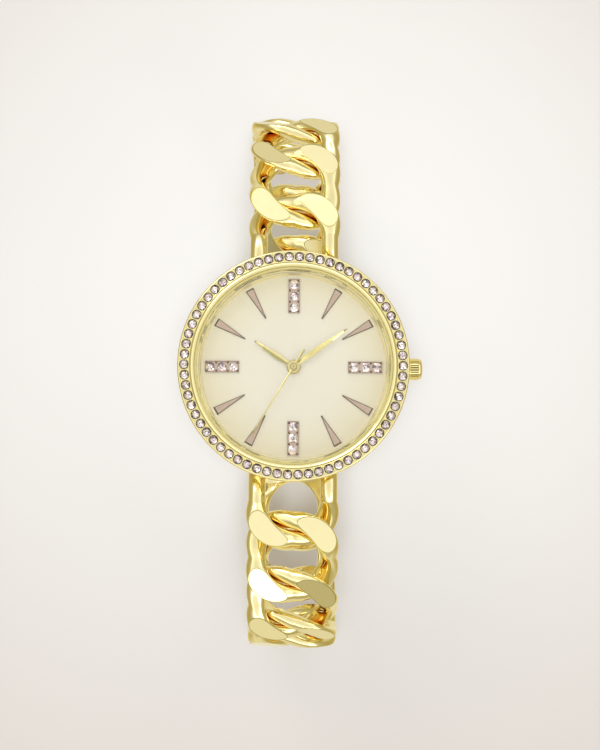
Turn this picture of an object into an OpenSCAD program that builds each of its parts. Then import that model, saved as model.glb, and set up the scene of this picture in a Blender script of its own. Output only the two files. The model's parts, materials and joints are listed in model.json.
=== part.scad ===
// Round bracelet watch with a stone-set bezel, three hands and a curb chain
// closed under the case by a fold-over clasp. Millimetres.
// It lies face up on its clasp: +Z leaves the dial, +Y points to 12 o'clock,
// +X to the crown. The origin is on the clasp's outer face, under the dial's centre.

/* [Case] */
// Bore of the case, round the movement
case_bore_r = 14.5; // [13:0.1:16]
// Wall of the case, from its bore to the outside of its band
case_wall = 3.1; // [2.9:0.1:3.3]
// Width of the case back's flange outside the bore
back_lip = 0.7; // [0.6:0.05:0.9]
// Thickness of the case back's flange
back_t = 0.75; // [0.6:0.05:1]
// Width of the ledge that carries the dial
dial_lip = 0.25; // [0.2:0.05:0.35]
// Height of the room for the hands, from the dial to the glass
hand_room = 1.65; // [1.6:0.05:2]
// Depth that the bezel reaches below the glass
bezel_skirt = 0.5; // [0.4:0.05:0.8]

/* [Bezel and glass] */
// Number of stones in the bezel
stone_count = 66; // [40:1:68]
// Diameter of a bezel stone
stone_d = 1.3; // [1.1:0.05:1.35]
// Width of the bezel's inner band, from the stones' seats to the glass gasket
inner_band_w = 0.81; // [0.7:0.01:1.2]
// Width of the bezel's outer rim, outside the stones' seats
outer_rim_w = 0.33; // [0.25:0.01:0.6]
// Height of the bezel's rim above the glass's lower face
rim_rise = 1.4; // [1.3:0.05:1.6]
// Height of the inner band's crest above the rim
crest_rise = 0.22; // [0.1:0.02:0.4]
// Width of the glass's edge that rests on the case
glass_lip = 0.3; // [0.2:0.05:0.4]
// Thickness of the glass
glass_t = 1.15; // [1:0.05:1.25]
// Radial width of the glass gasket
gasket_w = 0.32; // [0.25:0.01:0.4]

/* [Dial and hands] */
// Thickness of the dial
dial_t = 0.4; // [0.3:0.05:0.5]
// Width of the flange ring's foot on the dial
flange_w = 0.33; // [0.25:0.01:0.5]
// Length of the hour hand, from its axis
hour_len = 7.3; // [6:0.1:8.2]
// Length of the minute hand, from its axis
minute_len = 10.3; // [9:0.1:12.5]
// Length of the seconds hand, from its axis
seconds_len = 12.5; // [10:0.1:13.5]
// Length of the seconds hand's tail
seconds_tail = 3.1; // [2:0.1:4]
// Clock angle of the hour hand
hour_angle = 303.3; // [0:0.1:360]
// Clock angle of the minute hand
minute_angle = 54.2; // [0:0.1:360]
// Clock angle of the seconds hand
seconds_angle = 211; // [0:0.1:360]
// Length of the wedge markers
wedge_len = 5.25; // [4:0.05:6]
// Width of a wedge marker's outer end
wedge_w = 1.35; // [1:0.05:1.6]
// Gap between the wedge markers and the flange ring
wedge_gap = 0.37; // [0.1:0.01:1]
// Length of the baton markers
baton_len = 5.4; // [4.5:0.1:5.6]
// Width of a baton marker
baton_w = 1.85; // [1.6:0.05:2.1]
// Gap between the baton markers and the flange ring
baton_gap = 0.52; // [0.1:0.01:1]
// Diameter of a marker stone
marker_stone_d = 1.35; // [1:0.05:1.45]

/* [Crown] */
// Radius of the crown
crown_r = 1.7; // [1.65:0.05:2]
// Wall of the crown round the recess for its gasket
crown_wall = 0.5; // [0.4:0.05:0.6]
// Length of the crown
crown_len = 2.25; // [2.2:0.05:2.6]
// Gap between the crown and the case band
crown_gap = 0.45; // [0.35:0.05:0.6]
// Depth of the stem's axis under the main plate
stem_drop = 0.75; // [0.7:0.05:0.8]
// Travel of the crown when it is pulled out
crown_pull = 0.8; // [0.6:0.05:0.8]
// Radius of the stem
stem_r = 0.35; // [0.3:0.01:0.36]
// Number of grooves round the crown
crown_grooves = 28; // [16:1:30]

/* [Bracelet] */
// Distance between the chain's hinge points
link_pitch = 9.0; // [8.8:0.1:9.6]
// Half the width of a link, to the middle of its wire
link_spread = 5.6; // [5.4:0.1:6]
// Diameter of a link's wire where it is round
wire_d = 2.75; // [2.5:0.05:2.8]
// Free play between two links that hook together
link_play = 0.2; // [0.15:0.05:0.4]
// Thickness of the chain over its cut flats
link_t = 3.6; // [3.4:0.1:4.4]
// Width of the wire where it is cut flat
facet_w = 3.7; // [3.4:0.1:3.8]
// Thickness of the wire where it is cut flat, before the cut
facet_t = 2.25; // [2:0.05:2.4]
// How far the wire rises and falls where the links cross
crossing_rise = 1.55; // [1.5:0.05:1.7]
// Distance from the case band to the chain's first hinge point
lug_reach = 7.6; // [7.4:0.1:9]
// Height of the lug bars where they leave the case, above the case back's face
lug_h = 2.9; // [2.8:0.1:3.1]
// Depth of the lug bars in the case
lug_depth = 2.6; // [2.2:0.1:2.7]
// Slope of the end loops
lug_slope = 10; // [6:1:12]

/* [Clasp] */
// Width of the clasp's plate
clasp_w = 13; // [10:0.5:15]
// Thickness of the clasp's plate
clasp_t = 1.1; // [0.9:0.1:1.4]
// Room between the clasp's plate and the middle of the link's wire
eye_room = 2.45; // [2.4:0.05:2.8]
// Width of the fold-over leaf
leaf_w = 5.6; // [5:0.1:6.4]
// Thickness of the fold-over leaf
leaf_t = 0.8; // [0.7:0.05:1]
// Gap between the hook's end and the last link of the lower half
hook_gap = 0.4; // [0.35:0.05:1]

/* [Movement] */
// Radius of the movement's main plate
plate_r = 9.6; // [9.5:0.1:10.5]
// Thickness of the movement's main plate
plate_t = 0.88; // [0.85:0.01:1]
// Radius of the seconds arbor
arbor_r = 0.15; // [0.13:0.01:0.16]
// Radius of the battery
battery_r = 2.9; // [2.6:0.05:2.9]
// Thickness of the battery
battery_t = 1.9; // [1.8:0.05:2.2]
// Length of the coil
coil_len = 6.2; // [5:0.1:6.3]
// Radius of the coil
coil_r = 0.93; // [0.8:0.01:0.95]
// Thickness of a train wheel
wheel_t = 0.15; // [0.1:0.01:0.17]
// Width of the train bridge's arms
bridge_w = 1.4; // [1:0.1:1.6]
// Thickness of the train bridge
bridge_t = 0.45; // [0.35:0.05:0.5]
// Width of the stator's arms
stator_w = 1; // [0.8:0.05:1.1]

/* [Hidden] */
$fn = 96;

// Slope of each link below the dial's plane, from the case to the clasp
link_slope = [19, 47, 77, 106, 133, 158, 176];
link_count = len(link_slope);

// Colours of the finishes
gold = [0.93, 0.87, 0.56];
warm_gold = [0.86, 0.74, 0.36];
cream = [0.95, 0.92, 0.82];
rose = [0.73, 0.63, 0.54];
steel = [0.72, 0.73, 0.75];
stone = [0.93, 0.92, 0.95];
copper = [0.76, 0.45, 0.25];
black = [0.12, 0.12, 0.13];
green = [0.16, 0.38, 0.24];

// Small clearances: a running shaft, a seat, and a press fit in one body
run = 0.04;
seat = 0.05;
press = 0.01;
// A cut runs this far past the face that it opens
over = 1;

// A link's centre line is an ellipse, and its hinge points lie half a pitch from its middle
link_reach = (link_pitch + wire_d + link_play) / 2;
link_rings = 30;
link_sides = 12;
facet_shift = 14;
facet_bulge = 0.45;

// Heights in the bracelet, from the table up
eye_z = clasp_t + eye_room;
end_slope = link_slope[link_count - 1];
eye_drop = link_reach - link_pitch / 2;
last_z = eye_z + eye_drop * sin(end_slope);
function fall(k) = k == 0 ? 0 : fall(k - 1) + link_pitch * sin(link_slope[k - 1]);
function run_out(k) = k == 0 ? 0 : run_out(k - 1) + link_pitch * cos(link_slope[k - 1]);
band_r = case_bore_r + case_wall;
hinge_y = band_r + lug_reach;
hinge_z = last_z + fall(link_count);
function hinge(k) = [0, hinge_y + run_out(k), hinge_z - fall(k)];
eye_y = hinge(link_count).y + eye_drop * cos(end_slope);
head_z = hinge_z + lug_reach * tan(lug_slope) - lug_h;

// Radii of the case, from the bore out
back_r = case_bore_r + back_lip;
dial_r = case_bore_r + dial_lip;
collar_in_r = dial_r + seat;
glass_r = collar_in_r + glass_lip;
glass_bore_r = glass_r + gasket_w + seat;
crest_r = glass_bore_r + inner_band_w - 0.07;
stone_seat_r = stone_d / 2 + 0.07;
stone_ring_r = glass_bore_r + inner_band_w + stone_seat_r;
bezel_r = stone_ring_r + stone_seat_r + outer_rim_w;
collar_out_r = crest_r - 0.05;

// Heights in the head, above the case back's face
back_rib_h = back_t + 0.15;
clamp_low_h = back_t + 0.2;
clamp_t = 0.1;
cell_low_h = clamp_low_h + clamp_t + 0.02;
plate_low_h = cell_low_h + battery_t + 0.08;
plate_top_h = plate_low_h + plate_t;
dial_seat_h = plate_top_h + 0.02;
dial_top_h = dial_seat_h + dial_t;
collar_h = dial_top_h + hand_room;
shoulder_h = collar_h - bezel_skirt;
rim_h = collar_h + rim_rise;
crest_h = rim_h + crest_rise;
seat_low_h = rim_h - 0.5;
stone_crown_h = 0.22;
stone_depth = 0.42;
girdle_h = seat_low_h + stone_depth + 0.02;
dial_view_r = dial_r - flange_w;
wedge_out_r = dial_view_r - wedge_gap;
wedge_in_r = wedge_out_r - wedge_len;
baton_out_r = dial_view_r - baton_gap;
baton_in_r = baton_out_r - baton_len;

// Crown and stem
stem_h = plate_low_h - stem_drop;
crown_x = band_r + crown_gap;
crown_end_x = crown_x + crown_len;
recess_r = crown_r - crown_wall;
tube_r = recess_r - 0.3;
tube_bore_r = stem_r + 0.06;
tube_end_x = crown_x + 0.05 + crown_pull + 0.15;
recess_x = tube_end_x + 0.2;
stem_in_x = 5.3;
stem_end_x = crown_end_x - 0.75;

// Heights in the movement, which hangs under the main plate
motion_floor_h = plate_low_h + 0.25;
centre_h = plate_low_h - 0.6;
step_h = centre_h - 0.3;
third_h = centre_h - 0.5;
seconds_h = centre_h - 0.75;
bridge_top_h = seconds_h - 0.2;
bridge_low_h = bridge_top_h - bridge_t;
pivot_low_h = bridge_low_h + 0.05;
core_h = plate_low_h - coil_r - 0.02;
core_w = 0.9;
core_t = 0.4;
stator_t = 0.3;
stator_top_h = core_h - core_t / 2;
stator_low_h = stator_top_h - stator_t;

// The train: tooth counts, modules, and the axes that they give
rotor_teeth = 6;
step_teeth = 36;
step_pinion = 8;
seconds_teeth = 40;
seconds_pinion = 8;
third_teeth = 60;
third_pinion = 8;
centre_teeth = 64;
cannon_teeth = 12;
minute_teeth = 36;
minute_pinion = 10;
hour_teeth = 40;
step_dir = 200;
rotor_dir = 240;
third_dir = 60;
step_dist = 3.6;
rotor_dist = 2.1;
third_dist = 3.4;
minute_dist = 3.12;
rotor_mod = 2 * rotor_dist / (rotor_teeth + step_teeth);
step_mod = 2 * step_dist / (step_pinion + seconds_teeth);
seconds_mod = 2 * third_dist / (seconds_pinion + third_teeth);
third_mod = 2 * third_dist / (third_pinion + centre_teeth);
cannon_mod = 2 * minute_dist / (cannon_teeth + minute_teeth);
minute_mod = 2 * minute_dist / (minute_pinion + hour_teeth);
function toward(angle, dist) = [dist * cos(angle), dist * sin(angle)];
step_at = toward(step_dir, step_dist);
rotor_at = step_at + toward(rotor_dir, rotor_dist);
third_at = toward(third_dir, third_dist);
minute_at = [minute_dist, 0];
bridge_screw_1 = [4.3, -1.6];
bridge_screw_2 = [-7.3, -0.6];
clamp_screw = [-0.9, 7.2];
lever_at = [8.3, 2.6];
battery_at = [-4.45, 4.6];
coil_at = [-4.7, -6.7];
foot_left = [-6.1, -6.7];
foot_right = [2.2, -6.7];
stator_bend = [2.2, -4.9];
arm_lip = 0.08;
magnet_r = 0.7;
clamp_arm = [-1.6, -1.15];
clamp_w = 1.2;
cannon_tube_r = 0.45;
hour_bore_r = cannon_tube_r + seat;
hour_pipe_r = 0.75;
hour_hand_h = dial_top_h + 0.4;
minute_hand_h = hour_hand_h + 0.38;
seconds_hand_h = minute_hand_h + 0.38;

// Clasp
leaf_z = eye_z + eye_room;
post_w = 2.8;
post_t = 2.2;
neck_w = 4.8;
hook_end_y = -(eye_y - wire_d / 2 - hook_gap);
eye_post_y = eye_y + wire_d / 2 + 0.55;
rivet_r = 0.8;
rivet_y = eye_y - wire_d / 2 - 0.3 - rivet_r;
bridge_end_y = rivet_y - rivet_r - 0.3;
leaf_gap = 0.3;
leaf_tip_y = bridge_end_y - leaf_gap;
knuckle_r = 1;
pin_r = 0.5;
pin_y = hook_end_y + knuckle_r + 0.1;
pin_z = leaf_z + leaf_t / 2;
stud_r = 0.8;
stud_y = leaf_tip_y - 2.2;
wide_top_y = eye_y - wire_d / 2 - 1.4;
wide_low_y = hook_end_y + 3.2;

// A direction given as a clock angle from 12
module at_clock(angle) rotate([0, 0, -angle]) children();
// Pieces of the head are drawn above the case back's face
module on_head() translate([0, 0, head_z]) children();
module at_xy(p) translate([p.x, p.y, 0]) children();

// One ring of points round a link's wire, at the angle t of its centre line
function wire_ring(t) =
    let (
        rise = sin(2 * t + facet_shift * sin(2 * t)),
        flat = abs(rise),
        slope = [-link_spread * sin(t), link_reach * cos(t)],
        out = [slope.y, -slope.x] / norm(slope),
        half_w = (wire_d + (facet_w - wire_d) * flat) / 2,
        half_t = (wire_d + (facet_t - wire_d) * flat) / 2
    )
    [for (k = [0 : link_sides - 1])
        let (
            a = 360 * k / link_sides,
            r = facet_bulge * flat + half_w * cos(a),
            z = crossing_rise * rise + half_t * sin(a)
        )
        [
            link_spread * cos(t) + out.x * r,
            link_reach * sin(t) + out.y * r,
            max(-link_t / 2, min(link_t / 2, z)),
        ]
    ];

// A round ring of points in a straight bar at x, its outer side towards the sign of x
function bar_ring(x, y) =
    [for (k = [0 : link_sides - 1])
        let (a = 360 * k / link_sides)
        [x + sign(x) * wire_d / 2 * cos(a), y, wire_d / 2 * sin(a)]
    ];

// The side of a tube, as triangles between one ring and the next
function tube_side(i, j) =
    [for (k = [0 : link_sides - 1])
        let (
            n = (k + 1) % link_sides,
            a = i * link_sides + k,
            b = i * link_sides + n,
            c = j * link_sides + n,
            d = j * link_sides + k
        )
        each [[a, b, c], [a, c, d]]
    ];

// A closed link: its wire rises in front at two opposite quarters and falls between them
module link() {
    rings = [for (i = [0 : link_rings - 1]) each wire_ring(360 * i / link_rings)];
    faces = [for (i = [0 : link_rings - 1]) each tube_side(i, (i + 1) % link_rings)];
    polyhedron(rings, faces, convexity = 8);
}

// Half a link whose sides run straight on, for the given length, into the case
module end_link(bar_len) {
    curve = [for (i = [0 : link_rings / 2]) wire_ring(180 + 360 * i / link_rings)];
    all_rings = concat([bar_ring(-link_spread, bar_len)], curve, [bar_ring(link_spread, bar_len)]);
    last = len(all_rings) - 1;
    polyhedron(
        [for (ring = all_rings) each ring],
        concat(
            [[for (k = [link_sides - 1 : -1 : 0]) k]],
            [for (i = [0 : last - 1]) each tube_side(i, i + 1)],
            [[for (k = [0 : link_sides - 1]) last * link_sides + k]]
        ),
        convexity = 8
    );
}

// The lower half hangs towards 6 o'clock, and the upper half is the same, turned half round
module half(side) rotate([0, 0, side == "upper" ? 180 : 0]) children();

// Puts a link in the lower half of the chain, counted from the case
module in_chain(k) {
    slope = link_slope[k - 1];
    middle = (hinge(k - 1) + hinge(k)) / 2;
    translate([0, -middle.y, middle.z]) rotate([slope, 0, 0]) children();
}

// Puts the end loop, whose middle lies half a pitch before the first hinge point
module at_end_loop() {
    translate([0, -hinge_y, hinge_z])
        rotate([lug_slope, 0, 0])
            translate([0, link_pitch / 2, 0])
                children();
}

lug_bar_len = (lug_reach + lug_depth) / cos(lug_slope) - link_pitch / 2;
lug_hole_r = wire_d / 2 + seat;

module end_loop(side) color(gold) half(side) at_end_loop() end_link(lug_bar_len);
module chain_link(side, k) color(gold) half(side) in_chain(k) link();

// Two blind holes at each end of the case, in which the end loops' bars are held
module lug_holes() {
    for (side = ["upper", "lower"])
        half(side) at_end_loop()
            for (x = [-link_spread, link_spread])
                translate([x, -over * 2, 0])
                    rotate([-90, 0, 0])
                        cylinder(r = lug_hole_r, h = lug_bar_len + 2 * over + seat, $fn = 48);
}

module case_body() color(gold) difference() {
    on_head() difference() {
        rotate_extrude($fn = 180) polygon([
            [back_r + seat, 0.1], [band_r - 1.5, 0.1], [band_r - 0.7, 0.6],
            [band_r - 0.2, 1.4], [band_r, 2.4], [band_r, shoulder_h],
            [collar_out_r, shoulder_h], [collar_out_r, collar_h],
            [collar_in_r, collar_h], [collar_in_r, dial_seat_h],
            [case_bore_r, dial_seat_h], [case_bore_r, back_t + 0.4],
            [back_r - 0.05, back_t + 0.4], [back_r - 0.05, back_t + seat],
            [back_r + seat, back_t + seat],
        ]);
        translate([case_bore_r - over, 0, stem_h])
            rotate([0, 90, 0]) cylinder(r = tube_r + press, h = band_r, $fn = 48);
    }
    lug_holes();
}

module case_back() color(steel) on_head()
    rotate_extrude($fn = 180) polygon([
        [0, 0], [back_r - 0.9, 0], [back_r, 0.35], [back_r, back_t],
        [case_bore_r - 0.1, back_t], [case_bore_r - 0.1, back_rib_h],
        [case_bore_r - 1, back_rib_h], [case_bore_r - 1, back_t], [0, back_t],
    ]);

module back_gasket() color(black) on_head()
    rotate_extrude($fn = 180)
        translate([case_bore_r + 0.12, back_t + 0.07]) square([back_lip - 0.22, 0.3]);

// The places of the bezel's stones
module at_stones()
    for (i = [0 : stone_count - 1])
        at_clock(360 * (i + 0.5) / stone_count) translate([0, stone_ring_r, 0]) children();

// A ring with one round seat for each stone
module bezel() color(gold) on_head() difference() {
    rotate_extrude($fn = 180) polygon([
        [collar_out_r + seat, shoulder_h], [bezel_r - 0.15, shoulder_h],
        [bezel_r, shoulder_h + 0.2], [bezel_r, rim_h - 0.3],
        [bezel_r - 0.08, rim_h - 0.08], [bezel_r - 0.25, rim_h],
        [crest_r + 0.12, rim_h], [crest_r, crest_h],
        [glass_bore_r + 0.12, collar_h + glass_t + 0.12],
        [glass_bore_r, collar_h + glass_t], [glass_bore_r, collar_h + 0.03],
        [collar_out_r + seat, collar_h + 0.03],
    ]);
    at_stones()
        translate([0, 0, seat_low_h]) cylinder(r = stone_seat_r, h = over, $fn = 32);
}

// A round stone with a flat table, a sloping crown and a deep back
module gem(d, depth, crown_h) {
    cylinder(r1 = d / 2, r2 = d * 0.3, h = crown_h, $fn = 24);
    translate([0, 0, -depth]) cylinder(r1 = 0.06, r2 = d / 2, h = depth, $fn = 24);
}

module bezel_stones() color(stone) on_head()
    at_stones() translate([0, 0, girdle_h]) gem(stone_d, stone_depth, stone_crown_h);

module glass() color([0.9, 0.95, 0.95, 0.3]) on_head()
    rotate_extrude($fn = 180) polygon([
        [0, collar_h], [glass_r, collar_h], [glass_r, collar_h + glass_t - 0.15],
        [glass_r - 0.15, collar_h + glass_t], [0, collar_h + glass_t],
    ]);

module glass_gasket() color([0.9, 0.9, 0.88]) on_head()
    rotate_extrude($fn = 180)
        translate([glass_r + 0.02, collar_h]) square([gasket_w, glass_t - 0.15]);

module inner_flange() color(gold) on_head()
    rotate_extrude($fn = 180) polygon([
        [dial_view_r, dial_top_h], [dial_r, dial_top_h],
        [dial_r, collar_h - seat], [dial_r - 0.1, collar_h - seat],
    ]);

dial_foot_y = 8.3;
dial_foot_r = 0.35;

module dial() color(cream) on_head() union() {
    difference() {
        translate([0, 0, dial_seat_h]) cylinder(r = dial_r, h = dial_t, $fn = 180);
        translate([0, 0, dial_seat_h - over])
            cylinder(r = hour_pipe_r + 0.1, h = dial_t + 2 * over);
    }
    for (y = [-dial_foot_y, dial_foot_y])
        translate([0, y, dial_seat_h - 0.6]) cylinder(r = dial_foot_r, h = 0.6);
}

marker_t = 0.3;

module wedge_markers() color(rose) on_head()
    for (hour = [0 : 11]) if (hour % 3 != 0)
        at_clock(30 * hour)
            translate([0, 0, dial_top_h])
                linear_extrude(marker_t)
                    polygon([
                        [-0.08, wedge_in_r], [0.08, wedge_in_r],
                        [wedge_w / 2, wedge_out_r], [-wedge_w / 2, wedge_out_r],
                    ]);

baton_step = baton_len / 3;
baton_seat_h = dial_top_h + 0.08;

// The places of the three stones in each baton marker
module at_marker_stones()
    for (hour = [0, 3, 6, 9])
        at_clock(30 * hour)
            for (i = [0 : 2])
                translate([0, baton_in_r + baton_step * (i + 0.5), 0]) children();

module baton_markers() color(rose) on_head() difference() {
    for (hour = [0, 3, 6, 9])
        at_clock(30 * hour)
            translate([-baton_w / 2, baton_in_r, dial_top_h]) cube([baton_w, baton_len, marker_t]);
    at_marker_stones()
        translate([0, 0, baton_seat_h])
            cylinder(r = marker_stone_d / 2 + 0.02, h = over, $fn = 24);
}

module marker_stones() color(stone) on_head()
    at_marker_stones()
        translate([0, 0, baton_seat_h + 0.2]) gem(marker_stone_d, 0.2, 0.16);

// A flat hand drawn towards 12: a narrow neck, a widest point and a narrow tip
module hand(h, t, length, neck, widest, widest_at, tip, hub_r, bore_r)
    translate([0, 0, h]) difference() {
        union() {
            linear_extrude(t) polygon([
                [-neck / 2, 0], [-widest / 2, widest_at], [-tip / 2, length],
                [tip / 2, length], [widest / 2, widest_at], [neck / 2, 0],
            ]);
            cylinder(r = hub_r, h = t);
        }
        translate([0, 0, -over]) cylinder(r = bore_r, h = t + 2 * over);
    }

module hour_hand() color(gold) on_head() at_clock(hour_angle)
    hand(hour_hand_h, 0.15, hour_len, 0.7, 1.05, hour_len * 0.38, 0.2, 1.15, hour_pipe_r + press);

module minute_hand() color(gold) on_head() at_clock(minute_angle)
    hand(minute_hand_h, 0.15, minute_len, 0.6, 0.95, minute_len * 0.3, 0.16, 1.05, cannon_tube_r + press);

module seconds_hand() color(gold) on_head() at_clock(seconds_angle) difference() {
    union() {
        hand(seconds_hand_h, 0.12, seconds_len, 0.26, 0.24, 1, 0.14, 0.78, arbor_r + press);
        translate([0, 0, seconds_hand_h]) linear_extrude(0.12)
            polygon([[-0.13, 0], [0.13, 0], [0.22, -seconds_tail], [-0.22, -seconds_tail]]);
        translate([0, 0, seconds_hand_h]) cylinder(r = 0.52, h = 0.22);
    }
    translate([0, 0, seconds_hand_h - over]) cylinder(r = arbor_r + press, h = 3);
}

// Pieces round the stem are drawn along +X at the stem's height
module along_stem(x) translate([x, 0, stem_h]) rotate([0, 90, 0]) children();

flute_r = 0.13;
flute_x = crown_x + 0.3;
flute_end_x = crown_end_x - 0.7;

module crown() color(gold) on_head() difference() {
    along_stem(0) rotate_extrude() polygon([
        [0, crown_x], [crown_r - 0.25, crown_x], [crown_r, crown_x + 0.25],
        [crown_r, crown_end_x - 0.8], [crown_r - 0.3, crown_end_x - 0.35],
        [crown_r - 0.75, crown_end_x - 0.08], [0, crown_end_x],
    ]);
    for (i = [0 : crown_grooves - 1])
        rotate_about_stem(360 * i / crown_grooves)
            along_stem(flute_x)
                translate([crown_r + 0.06, 0, 0])
                    cylinder(r = flute_r, h = flute_end_x - flute_x, $fn = 16);
    along_stem(crown_x - over) cylinder(r = recess_r, h = recess_x - crown_x + over);
    along_stem(crown_x) cylinder(r = stem_r + press, h = stem_end_x - crown_x + seat);
}

module rotate_about_stem(angle)
    translate([0, 0, stem_h]) rotate([angle, 0, 0]) translate([0, 0, -stem_h]) children();

module crown_tube() color(steel) on_head() difference() {
    along_stem(case_bore_r + 0.05) cylinder(r = tube_r, h = tube_end_x - case_bore_r - 0.05);
    along_stem(case_bore_r - over) cylinder(r = tube_bore_r, h = band_r);
}

module crown_gasket() color(black) on_head() difference() {
    along_stem(crown_x + 0.05) cylinder(r = recess_r - 0.02, h = 0.35);
    along_stem(crown_x - over) cylinder(r = tube_r + 0.03, h = 4);
}

lever_peg_r = 0.14;
lever_groove = 0.42;

module setting_stem() color(steel) on_head() difference() {
    along_stem(stem_in_x) cylinder(r = stem_r, h = stem_end_x - stem_in_x, $fn = 48);
    along_stem(lever_at.x - lever_groove / 2) difference() {
        cylinder(r = stem_r + over, h = lever_groove, $fn = 48);
        translate([0, 0, -over]) cylinder(r = 0.15, h = lever_groove + 2 * over, $fn = 48);
    }
}

module setting_lever() color(steel) on_head() difference() {
    union() {
        translate([lever_at.x, lever_at.y, plate_low_h - 0.3]) cylinder(r = 0.75, h = 0.2);
        translate([lever_at.x - 0.3, -0.3, plate_low_h - 0.3]) cube([0.6, lever_at.y, 0.2]);
        translate([lever_at.x, 0, stem_h + 0.17])
            cylinder(r = lever_peg_r, h = plate_low_h - 0.2 - stem_h - 0.17, $fn = 32);
    }
    translate([lever_at.x, lever_at.y, 0]) cylinder(r = 0.3 + run, h = dial_seat_h);
}

// A flat toothed wheel with straight-sided teeth, one of them towards +X
module toothed(teeth, mod, t, hole_r) {
    root = mod * (teeth / 2 - 1.2);
    tip = mod * (teeth / 2 + 0.8);
    step = 360 / teeth;
    linear_extrude(t) difference() {
        polygon([for (i = [0 : teeth - 1]) each [
            root * [cos(step * (i - 0.3)), sin(step * (i - 0.3))],
            tip * [cos(step * (i - 0.13)), sin(step * (i - 0.13))],
            tip * [cos(step * (i + 0.13)), sin(step * (i + 0.13))],
            root * [cos(step * (i + 0.3)), sin(step * (i + 0.3))],
        ]]);
        circle(r = hole_r / cos(15), $fn = 12);
    }
}

// The toothed wheel at a place in the movement, with a tooth or a gap towards an angle
module train_wheel(at, h, teeth, mod, t, hole_r, tooth_to = 0, gap_to = undef)
    translate([at.x, at.y, h])
        rotate([0, 0, is_undef(gap_to) ? tooth_to : gap_to + 180 / teeth])
            toothed(teeth, mod, t, hole_r);

module arbor(at, low, top)
    translate([at.x, at.y, low]) cylinder(r = arbor_r, h = top - low, $fn = 48);

module setting_pinion() color(steel) on_head()
    translate([stem_in_x + 0.3, 0, stem_h])
        rotate([0, 90, 0]) toothed(10, 0.1, 0.7, stem_r + press);

module rotor() color(steel) on_head() {
    arbor(rotor_at, pivot_low_h, plate_low_h + 0.2);
    difference() {
        translate([rotor_at.x, rotor_at.y, stator_low_h - 0.05])
            cylinder(r = magnet_r, h = stator_t + 0.12);
        arbor(rotor_at, 0, dial_seat_h);
    }
    train_wheel(rotor_at, step_h - 0.1, rotor_teeth, rotor_mod, wheel_t + 0.2,
        arbor_r + press, gap_to = rotor_dir + 180);
}

module step_wheel() color(warm_gold) on_head() {
    arbor(step_at, pivot_low_h, plate_low_h + 0.2);
    train_wheel(step_at, seconds_h - 0.1, step_pinion, step_mod, wheel_t + 0.2,
        arbor_r + press, gap_to = step_dir + 180);
    train_wheel(step_at, step_h, step_teeth, rotor_mod, wheel_t,
        arbor_r + press, tooth_to = rotor_dir);
}

module seconds_wheel() color(warm_gold) on_head() {
    arbor([0, 0], pivot_low_h, seconds_hand_h + 0.25);
    train_wheel([0, 0], seconds_h, seconds_teeth, step_mod, wheel_t,
        arbor_r + press, tooth_to = step_dir);
    train_wheel([0, 0], seconds_h + wheel_t + 0.02, seconds_pinion, seconds_mod, 0.3,
        arbor_r + press, tooth_to = third_dir);
}

module third_wheel() color(warm_gold) on_head() {
    arbor(third_at, pivot_low_h, plate_low_h + 0.2);
    train_wheel(third_at, third_h, third_teeth, seconds_mod, wheel_t,
        arbor_r + press, gap_to = third_dir + 180);
    train_wheel(third_at, centre_h - 0.1, third_pinion, third_mod, wheel_t + 0.2,
        arbor_r + press, tooth_to = third_dir + 180);
}

module centre_wheel() color(warm_gold) on_head() {
    difference() {
        translate([0, 0, centre_h - 0.1])
            cylinder(r = cannon_tube_r, h = minute_hand_h + 0.15 - centre_h + 0.1, $fn = 64);
        translate([0, 0, centre_h - over])
            cylinder(r = arbor_r + run, h = 6, $fn = 64);
    }
    train_wheel([0, 0], centre_h, centre_teeth, third_mod, wheel_t,
        cannon_tube_r + press, gap_to = third_dir);
    train_wheel([0, 0], motion_floor_h + 0.03, cannon_teeth, cannon_mod, 0.25,
        cannon_tube_r + press, tooth_to = 0);
}

minute_post_r = 0.25;

module minute_wheel() color(warm_gold) on_head() {
    train_wheel(minute_at, motion_floor_h + 0.05, minute_teeth, cannon_mod, wheel_t,
        minute_post_r + run, gap_to = 180);
    train_wheel(minute_at, motion_floor_h + 0.05 + wheel_t, minute_pinion, minute_mod, 0.36,
        minute_post_r + run, tooth_to = 180);
}

module hour_wheel() color(warm_gold) on_head() {
    difference() {
        translate([0, 0, motion_floor_h + 0.32])
            cylinder(r = hour_pipe_r, h = hour_hand_h + 0.15 - motion_floor_h - 0.32, $fn = 64);
        cylinder(r = hour_bore_r, h = 2 * dial_top_h, $fn = 64);
    }
    train_wheel([0, 0], motion_floor_h + 0.36, hour_teeth, minute_mod, 0.14,
        hour_pipe_r + press, gap_to = 0);
}

pillar_r = 0.55;
screw_r = 0.22;
screw_len = 1.6;
screw_head_r = 0.5;
screw_head_t = 0.14;
screw_slot_w = 0.12;

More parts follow.
